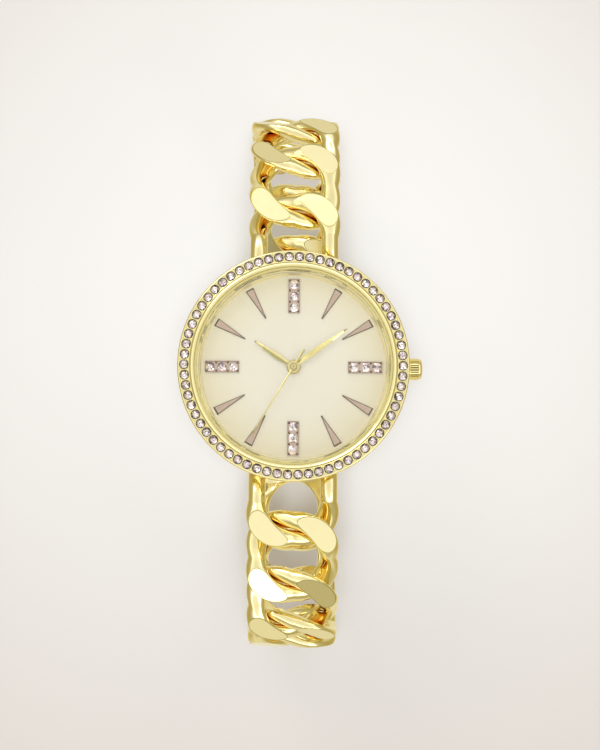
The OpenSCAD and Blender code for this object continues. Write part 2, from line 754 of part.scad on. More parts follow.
module main_plate() color(steel) on_head() difference() {
    union() {
        translate([0, 0, plate_low_h]) cylinder(r = plate_r, h = plate_top_h - plate_low_h);
        at_xy(bridge_screw_1) pillar(bridge_top_h);
        at_xy(bridge_screw_2) pillar(bridge_top_h);
        at_xy(clamp_screw) pillar(clamp_low_h + clamp_t);
        at_xy(lever_at) translate([0, 0, plate_low_h - 0.35]) cylinder(r = 0.3, h = 0.4);
    }
    difference() {
        translate([0, 0, motion_floor_h]) union() {
            cylinder(r = 2.9, h = over);
            at_xy(minute_at) cylinder(r = 2.75, h = over);
        }
        at_xy(minute_at) cylinder(r = minute_post_r, h = dial_seat_h);
    }
    cylinder(r = cannon_tube_r + run, h = dial_seat_h);
    for (p = [third_at, step_at, rotor_at])
        at_xy(p) cylinder(r = arbor_r + run, h = plate_low_h + 0.24, $fn = 48);
    for (p = [bridge_screw_1, bridge_screw_2, clamp_screw])
        at_xy(p) cylinder(r = screw_r + press, h = plate_low_h, $fn = 32);
    for (y = [-dial_foot_y, dial_foot_y])
        translate([0, y, dial_seat_h - 0.68]) cylinder(r = dial_foot_r + run, h = over);
}

module pillar(low) translate([0, 0, low]) cylinder(r = pillar_r, h = plate_low_h - low + 0.1);

// Flat bars of one width along a list of point pairs, with a wider round boss at every end
module arms(pairs, w, t)
    for (pair = pairs) {
        d = pair[1] - pair[0];
        at_xy(pair[0]) rotate([0, 0, atan2(d.y, d.x)]) translate([0, -w / 2, 0]) cube([norm(d), w, t]);
        for (p = pair) at_xy(p) cylinder(r = w / 2 + arm_lip, h = t, $fn = 48);
    }

module train_bridge() color(steel) on_head() difference() {
    translate([0, 0, bridge_low_h])
        arms([
            [[0, 0], bridge_screw_1], [[0, 0], third_at], [[0, 0], step_at],
            [step_at, rotor_at], [step_at, bridge_screw_2],
        ], bridge_w, bridge_t);
    for (p = [[0, 0], third_at, step_at, rotor_at])
        at_xy(p) cylinder(r = arbor_r + run, h = dial_seat_h, $fn = 48);
    for (p = [bridge_screw_1, bridge_screw_2])
        at_xy(p) cylinder(r = screw_r + press, h = dial_seat_h, $fn = 32);
}

module movement_screws() color(steel) on_head()
    for (s = [
        [bridge_screw_1, bridge_low_h], [bridge_screw_2, bridge_low_h],
        [clamp_screw, clamp_low_h],
    ])
        at_xy(s[0]) translate([0, 0, s[1] - screw_head_t]) difference() {
            union() {
                cylinder(r = screw_head_r, h = screw_head_t, $fn = 32);
                cylinder(r = screw_r, h = screw_len, $fn = 32);
            }
            translate([-over, -screw_slot_w / 2, -over])
                cube([2 * over, screw_slot_w, over + screw_head_t / 2]);
        }

module battery() color(steel) on_head()
    translate([battery_at.x, battery_at.y, cell_low_h])
        rotate_extrude() polygon([
            [0, 0], [battery_r - 0.5, 0], [battery_r - 0.45, 0.12],
            [battery_r - 0.1, 0.12], [battery_r, 0.25], [battery_r, battery_t], [0, battery_t],
        ]);

module battery_clamp() color(steel) on_head() difference() {
    translate([0, 0, clamp_low_h])
        arms([[clamp_screw, battery_at + clamp_arm]], clamp_w, clamp_t);
    at_xy(clamp_screw) cylinder(r = screw_r + press, h = dial_seat_h, $fn = 32);
}

module coil() color(copper) on_head() difference() {
    translate([coil_at.x, coil_at.y, core_h]) rotate([0, 90, 0]) cylinder(r = coil_r, h = coil_len);
    translate([coil_at.x - over, coil_at.y - core_w / 2 - 0.03, core_h - core_t / 2 - 0.03])
        cube([coil_len + 2 * over, core_w + 0.06, core_t + 0.06]);
}

module coil_core() color(steel) on_head()
    translate([foot_left.x - 0.4, coil_at.y - core_w / 2, core_h - core_t / 2])
        cube([foot_right.x - foot_left.x + 0.8, core_w, core_t]);

module stator() color(steel) on_head() difference() {
    translate([0, 0, stator_low_h]) union() {
        at_xy(rotor_at) cylinder(r = magnet_r + 0.55, h = stator_t);
        arms([
            [rotor_at, foot_left], [rotor_at, stator_bend], [stator_bend, foot_right],
        ], stator_w, stator_t);
    }
    at_xy(rotor_at) cylinder(r = magnet_r + 0.15, h = dial_seat_h);
}

board_at = [3.4, -5.3];
board_w = 4.4;
board_l = 2.7;
board_t = 0.2;

module circuit_board() color(green) on_head() {
    translate([board_at.x, board_at.y, plate_low_h - 0.05 - board_t]) cube([board_w, board_l, board_t]);
    translate([board_at.x + 2.6, board_at.y + 0.1, plate_low_h - 0.05 - board_t - 0.4])
        cube([1.3, 1.1, 0.4]);
}

module quartz_can() color(steel) on_head()
    translate([board_at.x + 0.3, board_at.y + 1.9, plate_low_h - 0.05 - board_t - 0.6])
        rotate([0, 90, 0]) cylinder(r = 0.6, h = 3.2, $fn = 48);

module movement_holder() color([0.85, 0.85, 0.82]) on_head() difference() {
    translate([0, 0, back_rib_h + seat])
        cylinder(r = case_bore_r - 0.1, h = plate_top_h - back_rib_h - seat, $fn = 180);
    cylinder(r = plate_r + 0.1, h = dial_seat_h + over);
    along_stem(plate_r - over) cylinder(r = stem_r + 0.2, h = 8, $fn = 48);
}

// A plate with round corners, its middle at the origin
module round_plate(w, l, r, t) {
    translate([-w / 2 + r, -l / 2, 0]) cube([w - 2 * r, l, t]);
    translate([-w / 2, -l / 2 + r, 0]) cube([w, l - 2 * r, t]);
    for (x = [-w / 2 + r, w / 2 - r], y = [-l / 2 + r, l / 2 - r])
        translate([x, y, 0]) cylinder(r = r, h = t, $fn = 48);
}

// The outer plate of the clasp, with an eye for the upper half and a hook for the lower
module clasp_cover() color(gold) difference() {
    union() {
        translate([0, (wide_top_y + wide_low_y) / 2, 0])
            round_plate(clasp_w, wide_top_y - wide_low_y, 2, clasp_t);
        translate([-neck_w / 2, hook_end_y, 0])
            cube([neck_w, eye_post_y + post_t - hook_end_y, clasp_t]);
        translate([-post_w / 2, eye_post_y, 0]) cube([post_w, post_t, leaf_z + leaf_t]);
        translate([-leaf_w / 2, bridge_end_y, leaf_z])
            cube([leaf_w, eye_post_y + post_t - bridge_end_y, leaf_t]);
        translate([0, rivet_y, 0]) cylinder(r = rivet_r, h = leaf_z + leaf_t);
        translate([0, stud_y, 0]) cylinder(r = stud_r, h = leaf_z + leaf_t * 0.6);
        translate([-post_w / 2, pin_y - knuckle_r, 0]) cube([post_w, 2 * knuckle_r, pin_z]);
        translate([-post_w / 2, pin_y, pin_z]) rotate([0, 90, 0]) cylinder(r = knuckle_r, h = post_w);
    }
    translate([-clasp_w / 2, pin_y, pin_z]) rotate([0, 90, 0]) cylinder(r = pin_r + press, h = clasp_w);
}

// The leaf that folds over the plate and snaps on its stud
module clasp_leaf() color(gold) difference() {
    union() {
        translate([-leaf_w / 2, pin_y + knuckle_r + 0.2, leaf_z])
            cube([leaf_w, leaf_tip_y - pin_y - knuckle_r - 0.2, leaf_t]);
        for (x = [-leaf_w / 2, post_w / 2 + 0.08])
            translate([x, pin_y, pin_z]) rotate([0, 90, 0]) {
                w = leaf_w / 2 - post_w / 2 - 0.08;
                cylinder(r = knuckle_r, h = w);
                translate([-leaf_t / 2, 0, 0]) cube([leaf_t, knuckle_r + 0.3, w]);
            }
    }
    translate([0, stud_y, leaf_z - over]) cylinder(r = stud_r + 0.2, h = leaf_t + 2 * over);
    translate([-clasp_w / 2, pin_y, pin_z]) rotate([0, 90, 0]) cylinder(r = pin_r + run, h = clasp_w);
}

module clasp_pin() color(steel)
    translate([-leaf_w / 2, pin_y, pin_z]) rotate([0, 90, 0]) cylinder(r = pin_r, h = leaf_w);

case_body();
case_back();
back_gasket();
bezel();
bezel_stones();
glass();
glass_gasket();
inner_flange();
dial();
wedge_markers();
baton_markers();
marker_stones();
hour_hand();
minute_hand();
seconds_hand();
crown();
crown_tube();
crown_gasket();
setting_stem();
setting_pinion();
setting_lever();
movement_holder();
main_plate();
train_bridge();
battery();
battery_clamp();
coil();
coil_core();
stator();
rotor();
step_wheel();
seconds_wheel();
third_wheel();
centre_wheel();
minute_wheel();
hour_wheel();
circuit_board();
quartz_can();
movement_screws();
end_loop("upper");  // upper_end_loop
chain_link("upper", 1);  // upper_link_1
chain_link("upper", 2);  // upper_link_2
chain_link("upper", 3);  // upper_link_3
chain_link("upper", 4);  // upper_link_4
chain_link("upper", 5);  // upper_link_5
chain_link("upper", 6);  // upper_link_6
chain_link("upper", 7);  // upper_link_7
end_loop("lower");  // lower_end_loop
chain_link("lower", 1);  // lower_link_1
chain_link("lower", 2);  // lower_link_2
chain_link("lower", 3);  // lower_link_3
chain_link("lower", 4);  // lower_link_4
chain_link("lower", 5);  // lower_link_5
chain_link("lower", 6);  // lower_link_6
chain_link("lower", 7);  // lower_link_7
clasp_cover();
clasp_leaf();
clasp_pin();
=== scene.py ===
# %% [markdown]
# # A bracelet watch with a stone-set bezel
# This lesson dresses a CAD model of a gold-plated watch. The CAD model gives every piece its place
# and its joint. Here each visible piece gets the shape that a polisher, a stone setter or a
# dial maker would leave on it, and each surface gets its real finish.
# All lengths are written in millimetres and multiplied by MM, because Blender works in metres.

# %% Load the CAD frame
import json
import math

import bmesh
import bpy
from mathutils import Matrix, Vector


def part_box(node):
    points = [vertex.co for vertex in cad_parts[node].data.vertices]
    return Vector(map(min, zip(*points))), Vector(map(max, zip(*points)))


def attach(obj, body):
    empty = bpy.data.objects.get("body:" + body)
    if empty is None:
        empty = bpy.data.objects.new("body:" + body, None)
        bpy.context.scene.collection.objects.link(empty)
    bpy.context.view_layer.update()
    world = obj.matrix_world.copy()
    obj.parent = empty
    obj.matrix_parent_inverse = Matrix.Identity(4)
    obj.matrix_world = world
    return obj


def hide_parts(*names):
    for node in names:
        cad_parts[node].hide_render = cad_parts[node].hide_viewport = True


MM = 0.001
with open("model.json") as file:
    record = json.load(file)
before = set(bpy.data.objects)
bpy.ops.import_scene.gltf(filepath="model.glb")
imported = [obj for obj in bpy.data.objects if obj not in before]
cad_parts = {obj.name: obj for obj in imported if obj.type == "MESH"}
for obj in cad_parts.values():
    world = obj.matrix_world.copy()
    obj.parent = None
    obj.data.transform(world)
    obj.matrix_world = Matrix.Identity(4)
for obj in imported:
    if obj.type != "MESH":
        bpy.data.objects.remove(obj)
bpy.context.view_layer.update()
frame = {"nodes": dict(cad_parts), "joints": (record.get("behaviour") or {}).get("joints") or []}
nodes = frame["nodes"]
joint_at = {j["name"]: Vector(j["pos_m"]) for j in frame["joints"] if j.get("pos_m")}

# %% [markdown]
# ## The heights that everything hangs on
# The watch lies face up on its clasp, so heights in the head are counted from the case back's
# outer face. Reading them from the CAD pieces keeps the new pieces in their seats.

# %% Read the seats from the CAD pieces
head_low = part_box("case_back")[0].z
dial_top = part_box("wedge_markers")[0].z
print("case back at", round(head_low / MM, 2), "mm, dial at", round(dial_top / MM, 2), "mm")

# %% [markdown]
# ## Helpers for working as by hand
# An operator acts on all that is selected. So each step starts with nothing selected, picks
# vertices, edges or faces by a test on their place, and then runs the operator.

# %% Selection helpers


def deselect():
    """Leaves edit mode and selects nothing."""
    if bpy.context.object and bpy.context.object.mode != "OBJECT":
        bpy.ops.object.mode_set(mode="OBJECT")
    bpy.ops.object.select_all(action="DESELECT")


def choose(piece):
    """Makes one piece the only selected and active object."""
    deselect()
    piece.select_set(True)
    bpy.context.view_layer.objects.active = piece


def edit(piece, kind="VERT"):
    """Opens a piece in edit mode with nothing selected."""
    choose(piece)
    bpy.ops.object.mode_set(mode="EDIT")
    bpy.ops.mesh.select_mode(type=kind)
    bpy.ops.mesh.select_all(action="DESELECT")


def edit_all(piece):
    """Opens a piece in edit mode with everything selected."""
    edit(piece)
    bpy.ops.mesh.select_all(action="SELECT")


def pick(piece, kind, test):
    """Selects the vertices, edges or faces that pass a test, and nothing else."""
    mesh = bmesh.from_edit_mesh(piece.data)
    everything = {"VERT": mesh.verts, "EDGE": mesh.edges, "FACE": mesh.faces}
    bpy.ops.mesh.select_all(action="DESELECT")
    chosen = [e for e in everything[kind] if test(e)]
    for element in chosen:
        element.select_set(True)
    mesh.select_flush_mode()
    bmesh.update_edit_mesh(piece.data)
    return len(chosen)


def named(name):
    """Names the object that an operator has just added."""
    piece = bpy.context.object
    piece.name = name
    piece.data.name = name
    return piece


def smooth(piece, degrees):
    """Shades a piece smooth, but keeps the edges that are sharper than an angle."""
    choose(piece)
    bpy.ops.object.shade_smooth_by_angle(angle=math.radians(degrees))


def clean(piece):
    """Merges doubled points and turns all faces outwards."""
    merge_gap = 0.0004 * MM
    edit_all(piece)
    bpy.ops.mesh.remove_doubles(threshold=merge_gap)
    bpy.ops.mesh.normals_make_consistent(inside=False)
    bpy.ops.object.mode_set(mode="OBJECT")


def soften(piece, width):
    """Rounds the edges of a piece by a width in millimetres, as tumbling does."""
    choose(piece)
    bevel = piece.modifiers.new("softened edges", "BEVEL")
    bevel.width = width * MM
    bevel.segments = 2
    bevel.limit_method = "ANGLE"
    bevel.angle_limit = math.radians(35)
    bevel.use_clamp_overlap = True
    bpy.ops.object.modifier_apply(modifier=bevel.name)


def even_shading(piece):
    """Lets large faces set the shading where they meet small ones, so that flats look flat."""
    choose(piece)
    weighted = piece.modifiers.new("even shading", "WEIGHTED_NORMAL")
    weighted.keep_sharp = True
    weighted.weight = 100
    bpy.ops.object.modifier_apply(modifier=weighted.name)


def coat(piece, *materials):
    """Gives a piece these finishes and no others."""
    piece.data.materials.clear()
    for material in materials:
        piece.data.materials.append(material)


def join(pieces, name):
    """Joins pieces into one mesh."""
    deselect()
    for piece in pieces:
        piece.select_set(True)
    bpy.context.view_layer.objects.active = pieces[0]
    bpy.ops.object.join()
    return named(name)


def copy_of(piece, name, place=None):
    """A copy with its own mesh, moved by a matrix that goes into the mesh."""
    twin = piece.copy()
    twin.data = piece.data.copy()
    twin.name = twin.data.name = name
    for key in list(twin.keys()):
        del twin[key]
    twin.parent = None
    bpy.context.scene.collection.objects.link(twin)
    if place is not None:
        twin.data.transform(place)
    return twin


def seat(piece, body, slot, *replaced):
    """Puts a finished piece on its body, and hides the CAD nodes it replaces. The slot is not used.
    """
    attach(piece, body)
    if replaced:
        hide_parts(*replaced)


# %% [markdown]
# ## Colours and shader nodes
# Colours are written as the sRGB hex values that a designer would pick. Shaders work with
# linear light, so one function converts them. The others add nodes with their settings and links.

# %% Colour and node helpers


def linear(hex_colour):
    """An sRGB hex colour as linear RGBA."""
    channels = [int(hex_colour[i:i + 2], 16) / 255 for i in (1, 3, 5)]
    return (*[c / 12.92 if c <= 0.04045 else ((c + 0.055) / 1.055) ** 2.4 for c in channels], 1.0)


def add(tree, kind, settings=None, links=None):
    """Adds a shader node, sets its values and links its inputs."""
    node = tree.nodes.new(kind)
    for key, value in (settings or {}).items():
        if isinstance(key, int) or key in node.inputs:
            node.inputs[key].default_value = value
        else:
            setattr(node, key, value)
    for key, socket in (links or {}).items():
        tree.links.new(socket, node.inputs[key])
    return node


def finish_named(name, settings):
    """A new material, with its shader's own values, and the object coordinates for its patterns."""
    material = bpy.data.materials.new(name)
    material.use_nodes = True
    tree = material.node_tree
    tree.nodes.clear()
    shader = add(tree, "ShaderNodeBsdfPrincipled", settings)
    add(tree, "ShaderNodeOutputMaterial", links={"Surface": shader.outputs["BSDF"]})
    coords = add(tree, "ShaderNodeTexCoord")
    return material, tree, shader, coords.outputs["Object"]


def colour_between(tree, factor, low, high):
    """A colour between two others, each a hex value or a node's output, by a factor."""
    mix = add(tree, "ShaderNodeMix", {"data_type": "RGBA"}, {0: factor})
    for socket, colour in ((mix.inputs[6], low), (mix.inputs[7], high)):
        if isinstance(colour, str):
            socket.default_value = linear(colour)
        else:
            tree.links.new(colour, socket)
    return mix.outputs[2]


def value_between(tree, factor, low, high):
    """A number that goes from low to high with a factor."""
    return add(tree, "ShaderNodeMapRange", {"To Min": low, "To Max": high},
               {"Value": factor}).outputs["Result"]


def part_way(tree, value, low, high):
    """How far a value has gone from low to high, between 0 and 1."""
    return add(tree, "ShaderNodeMapRange", {"From Min": low, "From Max": high},
               {"Value": value}).outputs["Result"]


def paint(tree, shader, factor, low, high):
    """Colours a surface between two colours by a factor."""
    tree.links.new(colour_between(tree, factor, low, high), shader.inputs["Base Color"])


def roughen(tree, shader, factor, low, high):
    """Sets a surface's roughness between two values by a factor."""
    tree.links.new(value_between(tree, factor, low, high), shader.inputs["Roughness"])


def noise(tree, place, size, detail=2.0, stretch=(1, 1, 1)):
    """Noise whose grains are about a given size in millimetres, longer where stretched."""
    scaled = add(tree, "ShaderNodeMapping", {"Scale": [1 / s for s in stretch]}, {"Vector": place})
    return add(tree, "ShaderNodeTexNoise", {"Scale": 1 / (size * MM), "Detail": detail},
               {"Vector": scaled.outputs["Vector"]}).outputs["Fac"]


def bumped(tree, shader, height, depth):
    """Raises the surface by a pattern, by a depth in millimetres."""
    bump = add(tree, "ShaderNodeBump", {"Strength": 1.0, "Distance": depth * MM}, {"Height": height})
    tree.links.new(bump.outputs["Normal"], shader.inputs["Normal"])


def from_axis(tree, place):
    """The distance of a place from the dial's axis."""
    flat = add(tree, "ShaderNodeVectorMath", {"operation": "MULTIPLY", 1: (1, 1, 0)}, {0: place})
    return add(tree, "ShaderNodeVectorMath", {"operation": "LENGTH"},
               {0: flat.outputs["Vector"]}).outputs["Value"]


# %% [markdown]
# ## Gold plate
# The case and chain are brass with a thin, pale gold electroplate. Polished on a wheel, it is
# a nearly perfect mirror, with faint clouds left by the buffing. Between two links the gold sees
# mostly more gold, so it looks warmer there. That warm reflection is painted into the chain's colour
# where Ambient Occlusion finds a place closed in. The chain's flats are cut with a diamond tool,
# which leaves them flatter; they are painted a little paler, a painted highlight. Their rim is dull,
# and painted darker as a painted shade line. One half of each hand is polished and the other is
# satin, and the satin half is painted darker, as painted shade.

# %% Gold finishes


def gold_finish(name, pale, deep, rough, cloud=1.2):
    """Plated gold between two tones, in clouds of a size in millimetres."""
    material, tree, shader, place = finish_named(name, {"Metallic": 1.0})
    clouds = noise(tree, place, cloud, 3.0)
    paint(tree, shader, clouds, deep, pale)
    roughen(tree, shader, clouds, rough * 0.7, rough * 1.3)
    bumped(tree, shader, noise(tree, place, 0.12, 1.0), 0.0004)
    return material


def paint_crevice_reflection(material, warm, reach):
    """Paints a warm reflection into the gold where neighbouring wire closes it in, within a reach in
    millimetres.
    """
    closed_in, open_enough = 0.1, 0.5
    tree = material.node_tree
    shader = next(n for n in tree.nodes if n.type == "BSDF_PRINCIPLED")
    gold = shader.inputs["Base Color"].links[0].from_socket
    open_sky = add(tree, "ShaderNodeAmbientOcclusion", {"Distance": reach * MM, "samples": 8})
    openness = part_way(tree, open_sky.outputs["AO"], closed_in, open_enough)
    paint(tree, shader, openness, warm, gold)
    return material


polished_gold = gold_finish("polished gold plate", "#FCF1B8", "#F7E9AA", 0.07)
wire_gold = gold_finish("polished gold wire with painted crevice reflection", "#FDF1B9", "#F8E9AB", 0.07)
# The chain's gold is painted warmer in its crevices, a painted reflection of the gold round it.
chain_gold = paint_crevice_reflection(wire_gold, "#E0A44A", 3.0)
# The rim of each cut is rougher and painted darker, a painted shade line along the cut's edge.
rim_gold_painted_dark = gold_finish("cut rim with a painted dark line", "#B9AF66", "#A99F58", 0.3)
# The flats' gold is a little paler than the wire's, a painted highlight.
cut_gold = gold_finish("diamond cut gold flat", "#FEF4C2", "#FCF0B6", 0.12)
hand_bright = gold_finish("polished half of a hand", "#F3E6A8", "#EADC9C", 0.14)
# The satin half is also painted darker, as painted shade on the side of the ridge away from the
# light.
hand_satin_painted_shade = gold_finish("satin half of a hand with painted shade", "#C4B96E", "#B6AB60", 0.25)
# The seat walls are painted dark, as painted shade round each stone.
seat_wall_painted_shade = gold_finish("seat wall with painted shade", "#6A6352", "#4A4438", 0.35)
dark_groove = gold_finish("shadowed gold groove", "#8E7C3C", "#74662F", 0.35)
crown_gold = gold_finish("satin gold crown", "#FDF1B4", "#F8E8A6", 0.22)
flange_gold = gold_finish("satin gold flange", "#FDF4C8", "#F8ECBC", 0.38, 6.0)

# %% [markdown]
# ## Rose plate, crystals and glass
# The markers are plated in a pale rose. The stones are foil-backed crystals, which act as small
# faceted mirrors, so a nearly metallic shader shows them better than refraction through their tiny
# thickness. Noise over a facet's direction and a stone's place paints flashes and dark reflections
# into the facets' colour, so some facets flash and others turn dark. The glass is thin and clear,
# and turns into a mirror where it is seen at a low angle.

# %% Rose plate, crystal and glass


def rose_finish():
    """Pale rose plate, brushed along one way."""
    material, tree, shader, place = finish_named("pale rose plate", {"Metallic": 1.0})
    clouds = noise(tree, place, 0.8)
    paint(tree, shader, clouds, "#CBB09A", "#D9C3AE")
    roughen(tree, shader, clouds, 0.18, 0.28)
    bumped(tree, shader, noise(tree, place, 0.05, 1.0, (8, 1, 1)), 0.0008)
    return material


def crystal_finish():
    """Foil-backed crystal, whose facets have painted flashes and painted dark reflections."""
    facet_spread, stone_spread = 1.6, 1.3 * MM
    dark_below, bright_above = 0.31, 0.47
    material, tree, shader, place = finish_named(
        "foiled crystal", {"Metallic": 0.9, "Roughness": 0.05, "Coat Weight": 0.4})
    facing = add(tree, "ShaderNodeTexCoord").outputs["Normal"]
    by_facet = add(tree, "ShaderNodeVectorMath", {"operation": "SCALE", "Scale": facet_spread},
                   {0: facing})
    by_stone = add(tree, "ShaderNodeVectorMath", {"operation": "SCALE", "Scale": 1 / stone_spread},
                   {0: place})
    both = add(tree, "ShaderNodeVectorMath", {"operation": "ADD"},
               {0: by_facet.outputs["Vector"], 1: by_stone.outputs["Vector"]})
    flashes = add(tree, "ShaderNodeTexNoise", {"Scale": 1.0, "Detail": 0.0},
                  {"Vector": both.outputs["Vector"]})
    # Facets are painted bright or dark by this noise: painted flashes and painted dark reflections.
    flash = part_way(tree, flashes.outputs["Fac"], dark_below, bright_above)
    pale = colour_between(tree, noise(tree, place, 0.9, 0.0), "#DAC0C4", "#E4DED2")
    paint(tree, shader, flash, "#7E7276", pale)
    return material


def glass_finish():
    """Clear glass, which mirrors only at a low angle."""
    material, tree, shader, place = finish_named(
        "mineral glass", {"Base Color": linear("#FFFFFF"), "Metallic": 1.0, "Roughness": 0.02})
    facing = add(tree, "ShaderNodeLayerWeight", {"Blend": 0.5}).outputs["Facing"]
    grazing = add(tree, "ShaderNodeMath", {"operation": "POWER", 1: 5.0}, {0: facing}).outputs[0]
    tree.links.new(value_between(tree, grazing, 0.04, 1.0), shader.inputs["Alpha"])
    return material


rose_plate = rose_finish()
rose_edge = gold_finish("shaded rose edge", "#7C6A58", "#665645", 0.3)
crystal = crystal_finish()
glass_clear = glass_finish()

# %% [markdown]
# ## The dial's sunray lacquer
# A dial maker brushes the disc from its centre outwards and covers it with cream lacquer. The
# brush lines run like rays, so the pattern follows the angle round the centre, and the highlight
# stretches across the rays.

# %% Dial finish


def dial_finish():
    """Cream lacquer over rays that are brushed outwards, painted a little deeper towards the edge as
    a painted reflection of the gold flange.
    """
    fade_from, fade_to = 8 * MM, 15.5 * MM
    material, tree, shader, place = finish_named(
        "cream sunray lacquer",
        {"Metallic": 0.25, "Roughness": 0.36, "Anisotropic": 0.5, "Coat Weight": 0.3})
    parts = add(tree, "ShaderNodeSeparateXYZ", links={"Vector": place})
    angle = add(tree, "ShaderNodeMath", {"operation": "ARCTAN2"},
                {0: parts.outputs["Y"], 1: parts.outputs["X"]})
    ray_place = add(tree, "ShaderNodeCombineXYZ", links={"X": angle.outputs[0]})
    rays = add(tree, "ShaderNodeTexNoise", {"Scale": 55.0, "Detail": 4.0},
               {"Vector": ray_place.outputs["Vector"]})
    # Towards the rim the lacquer is painted deeper, a painted reflection of the gold flange.
    edge = part_way(tree, from_axis(tree, place), fade_from, fade_to)
    low = colour_between(tree, edge, "#C9BEA9", "#C5B692")
    high = colour_between(tree, edge, "#CFC5B0", "#CBBE9B")
    paint(tree, shader, rays.outputs["Fac"], low, high)
    tangent = add(tree, "ShaderNodeTangent", {"direction_type": "RADIAL", "axis": "Z"})
    tree.links.new(tangent.outputs["Tangent"], shader.inputs["Tangent"])
    return material


dial_cream = dial_finish()

# %% [markdown]
# ## Steel, nickel, brass and the small parts of the movement
# The case back is turned on a lathe, which leaves fine rings. The movement's plates are nickel
# plated and blasted, its wheels are gilt brass, and its coil is wound from enamelled copper wire.

# %% Movement finishes


def turned_steel():
    """Steel with the fine rings that a lathe leaves."""
    ring_gap = 0.12 * MM
    material, tree, shader, place = finish_named("turned steel back", {"Metallic": 1.0})
    ring_place = add(tree, "ShaderNodeCombineXYZ", links={"X": from_axis(tree, place)})
    rings = add(tree, "ShaderNodeTexNoise", {"Scale": 1 / ring_gap, "Detail": 3.0},
                {"Vector": ring_place.outputs["Vector"]})
    paint(tree, shader, rings.outputs["Fac"], "#B4B4B6", "#CFCFD1")
    roughen(tree, shader, rings.outputs["Fac"], 0.18, 0.34)
    bumped(tree, shader, rings.outputs["Fac"], 0.002)
    return material


def small_metal(name, low, high, rough, grain, stretch=(1, 1, 1)):
    """Bare or plated metal with a fine grain, longer where it was drawn."""
    material, tree, shader, place = finish_named(name, {"Metallic": 1.0})
    grains = noise(tree, place, grain, 3.0, stretch)
    paint(tree, shader, grains, low, high)
    roughen(tree, shader, grains, rough * 0.7, rough * 1.4)
    bumped(tree, shader, grains, 0.001)
    return material


def small_plastic(name, low, high, rough, grain):
    """Moulded plastic, rubber or lacquer with a fine grain."""
    material, tree, shader, place = finish_named(name, {"IOR": 1.5})
    grains = noise(tree, place, grain, 3.0)
    paint(tree, shader, grains, low, high)
    roughen(tree, shader, grains, rough * 0.85, rough * 1.15)
    bumped(tree, shader, grains, 0.002)
    return material


def copper_winding():
    """Enamelled copper wire, wound turn beside turn."""
    turn_gap = 0.5 * MM
    material, tree, shader, place = finish_named(
        "enamelled copper winding", {"Metallic": 0.9, "Roughness": 0.3, "Coat Weight": 0.6})
    turns = add(tree, "ShaderNodeTexWave", {"Scale": 1 / turn_gap, "Distortion": 0.4},
                {"Vector": place})
    paint(tree, shader, turns.outputs["Fac"], "#8A4A24", "#D08A4E")
    bumped(tree, shader, turns.outputs["Fac"], 0.02)
    return material


back_steel = turned_steel()
bright_steel = small_metal("drawn steel", "#B9B9BC", "#D3D3D5", 0.2, 0.1, (6, 1, 1))
nickel = small_metal("blasted nickel plate", "#B3AFA6", "#CBC7BE", 0.3, 0.06)
cell_steel = small_metal("button cell steel", "#C4C4C6", "#DCDCDD", 0.24, 0.08, (4, 1, 1))
magnet = small_metal("sintered magnet", "#56565A", "#6D6D72", 0.4, 0.05)
gilt_brass = small_metal("gilt brass wheel", "#C7A552", "#DDBD6C", 0.16, 0.1)
copper = copper_winding()
board_green = small_plastic("solder resist", "#1C5233", "#2B6B45", 0.25, 0.3)
holder_white = small_plastic("moulded acetal", "#D9D8D2", "#E6E5E0", 0.5, 0.2)
# The clear nylon gasket is painted the colour of the gold round it, a painted reflection.
gasket_painted_gold_show_through = small_plastic("clear nylon gasket painted with gold seen through it", "#A8965A", "#B8A86C", 0.3, 0.3)
seal_rubber = small_plastic("nitrile rubber", "#131314", "#222224", 0.65, 0.15)

# %% [markdown]
# ## One curb link
# A curb link is a ring of wire, twisted so that it lies flat, hammered and cut level on both faces.
# A torus is the ring. Each of its sections is then set at the height and swell that the twist
# gives it. The sections follow a formula here, because neighbouring links clear each other by a
# tenth of a millimetre. Four bisecting planes make the cuts, two on each face, and an inset gives
# each cut its narrow rim. The wire, the cuts and the rims each have their own gold. The rims' gold
# is rougher and darker, a painted shade line, and the cuts' gold a little paler, a painted
# highlight.

# %% Link sizes
link_sections = 96
link_sides = 28
wire_d = 2.75 * MM
flat_w = 3.7 * MM
flat_t = 2.25 * MM
rise = 1.55 * MM
shift = math.radians(14)
bulge = 0.45 * MM
spread = 5.6 * MM
link_play = 0.2 * MM
cut_x, cut_y, cut_h = 4.0 * MM, 4.1 * MM, 1.75 * MM
cut_slope = math.radians(5)
cut_corners = 10
rim_w, rim_depth = 0.11 * MM, 0.015 * MM
on_wire, on_cut, on_rim = 0, 1, 2
pitch = (joint_at["lower_hinge_2"] - joint_at["lower_hinge_1"]).length
reach = (pitch + wire_d + link_play) / 2
skin = 0.02 * MM
print("pitch", round(pitch / MM, 3), "mm, half length to the wire's middle", round(reach / MM, 3))

# %% Shape one link from a torus


def section_point(turn, side):
    """A point of the wire, from the place along the link and the place round the wire."""
    level = math.sin(2 * turn + shift * math.sin(2 * turn))
    swell = abs(level)
    normal = Vector((reach * math.cos(turn), spread * math.sin(turn), 0)).normalized()
    half_w = (wire_d + (flat_w - wire_d) * swell) / 2 - skin
    half_t = (wire_d + (flat_t - wire_d) * swell) / 2 - skin
    centre = Vector((spread * math.cos(turn), reach * math.sin(turn), rise * level))
    out = normal * (bulge * swell + half_w * math.cos(side))
    return centre + out + Vector((0, 0, half_t * math.sin(side)))


def link_blank():
    """A twisted ring of wire without its cuts."""
    bpy.ops.mesh.primitive_torus_add(
        major_segments=link_sections, minor_segments=link_sides,
        major_radius=spread, minor_radius=wire_d / 2)
    blank = named("curb link blank")
    for index, vertex in enumerate(blank.data.vertices):
        turn = 2 * math.pi * (index // link_sides) / link_sections
        side = 2 * math.pi * (index % link_sides) / link_sides
        vertex.co = section_point(turn, side)
    return blank


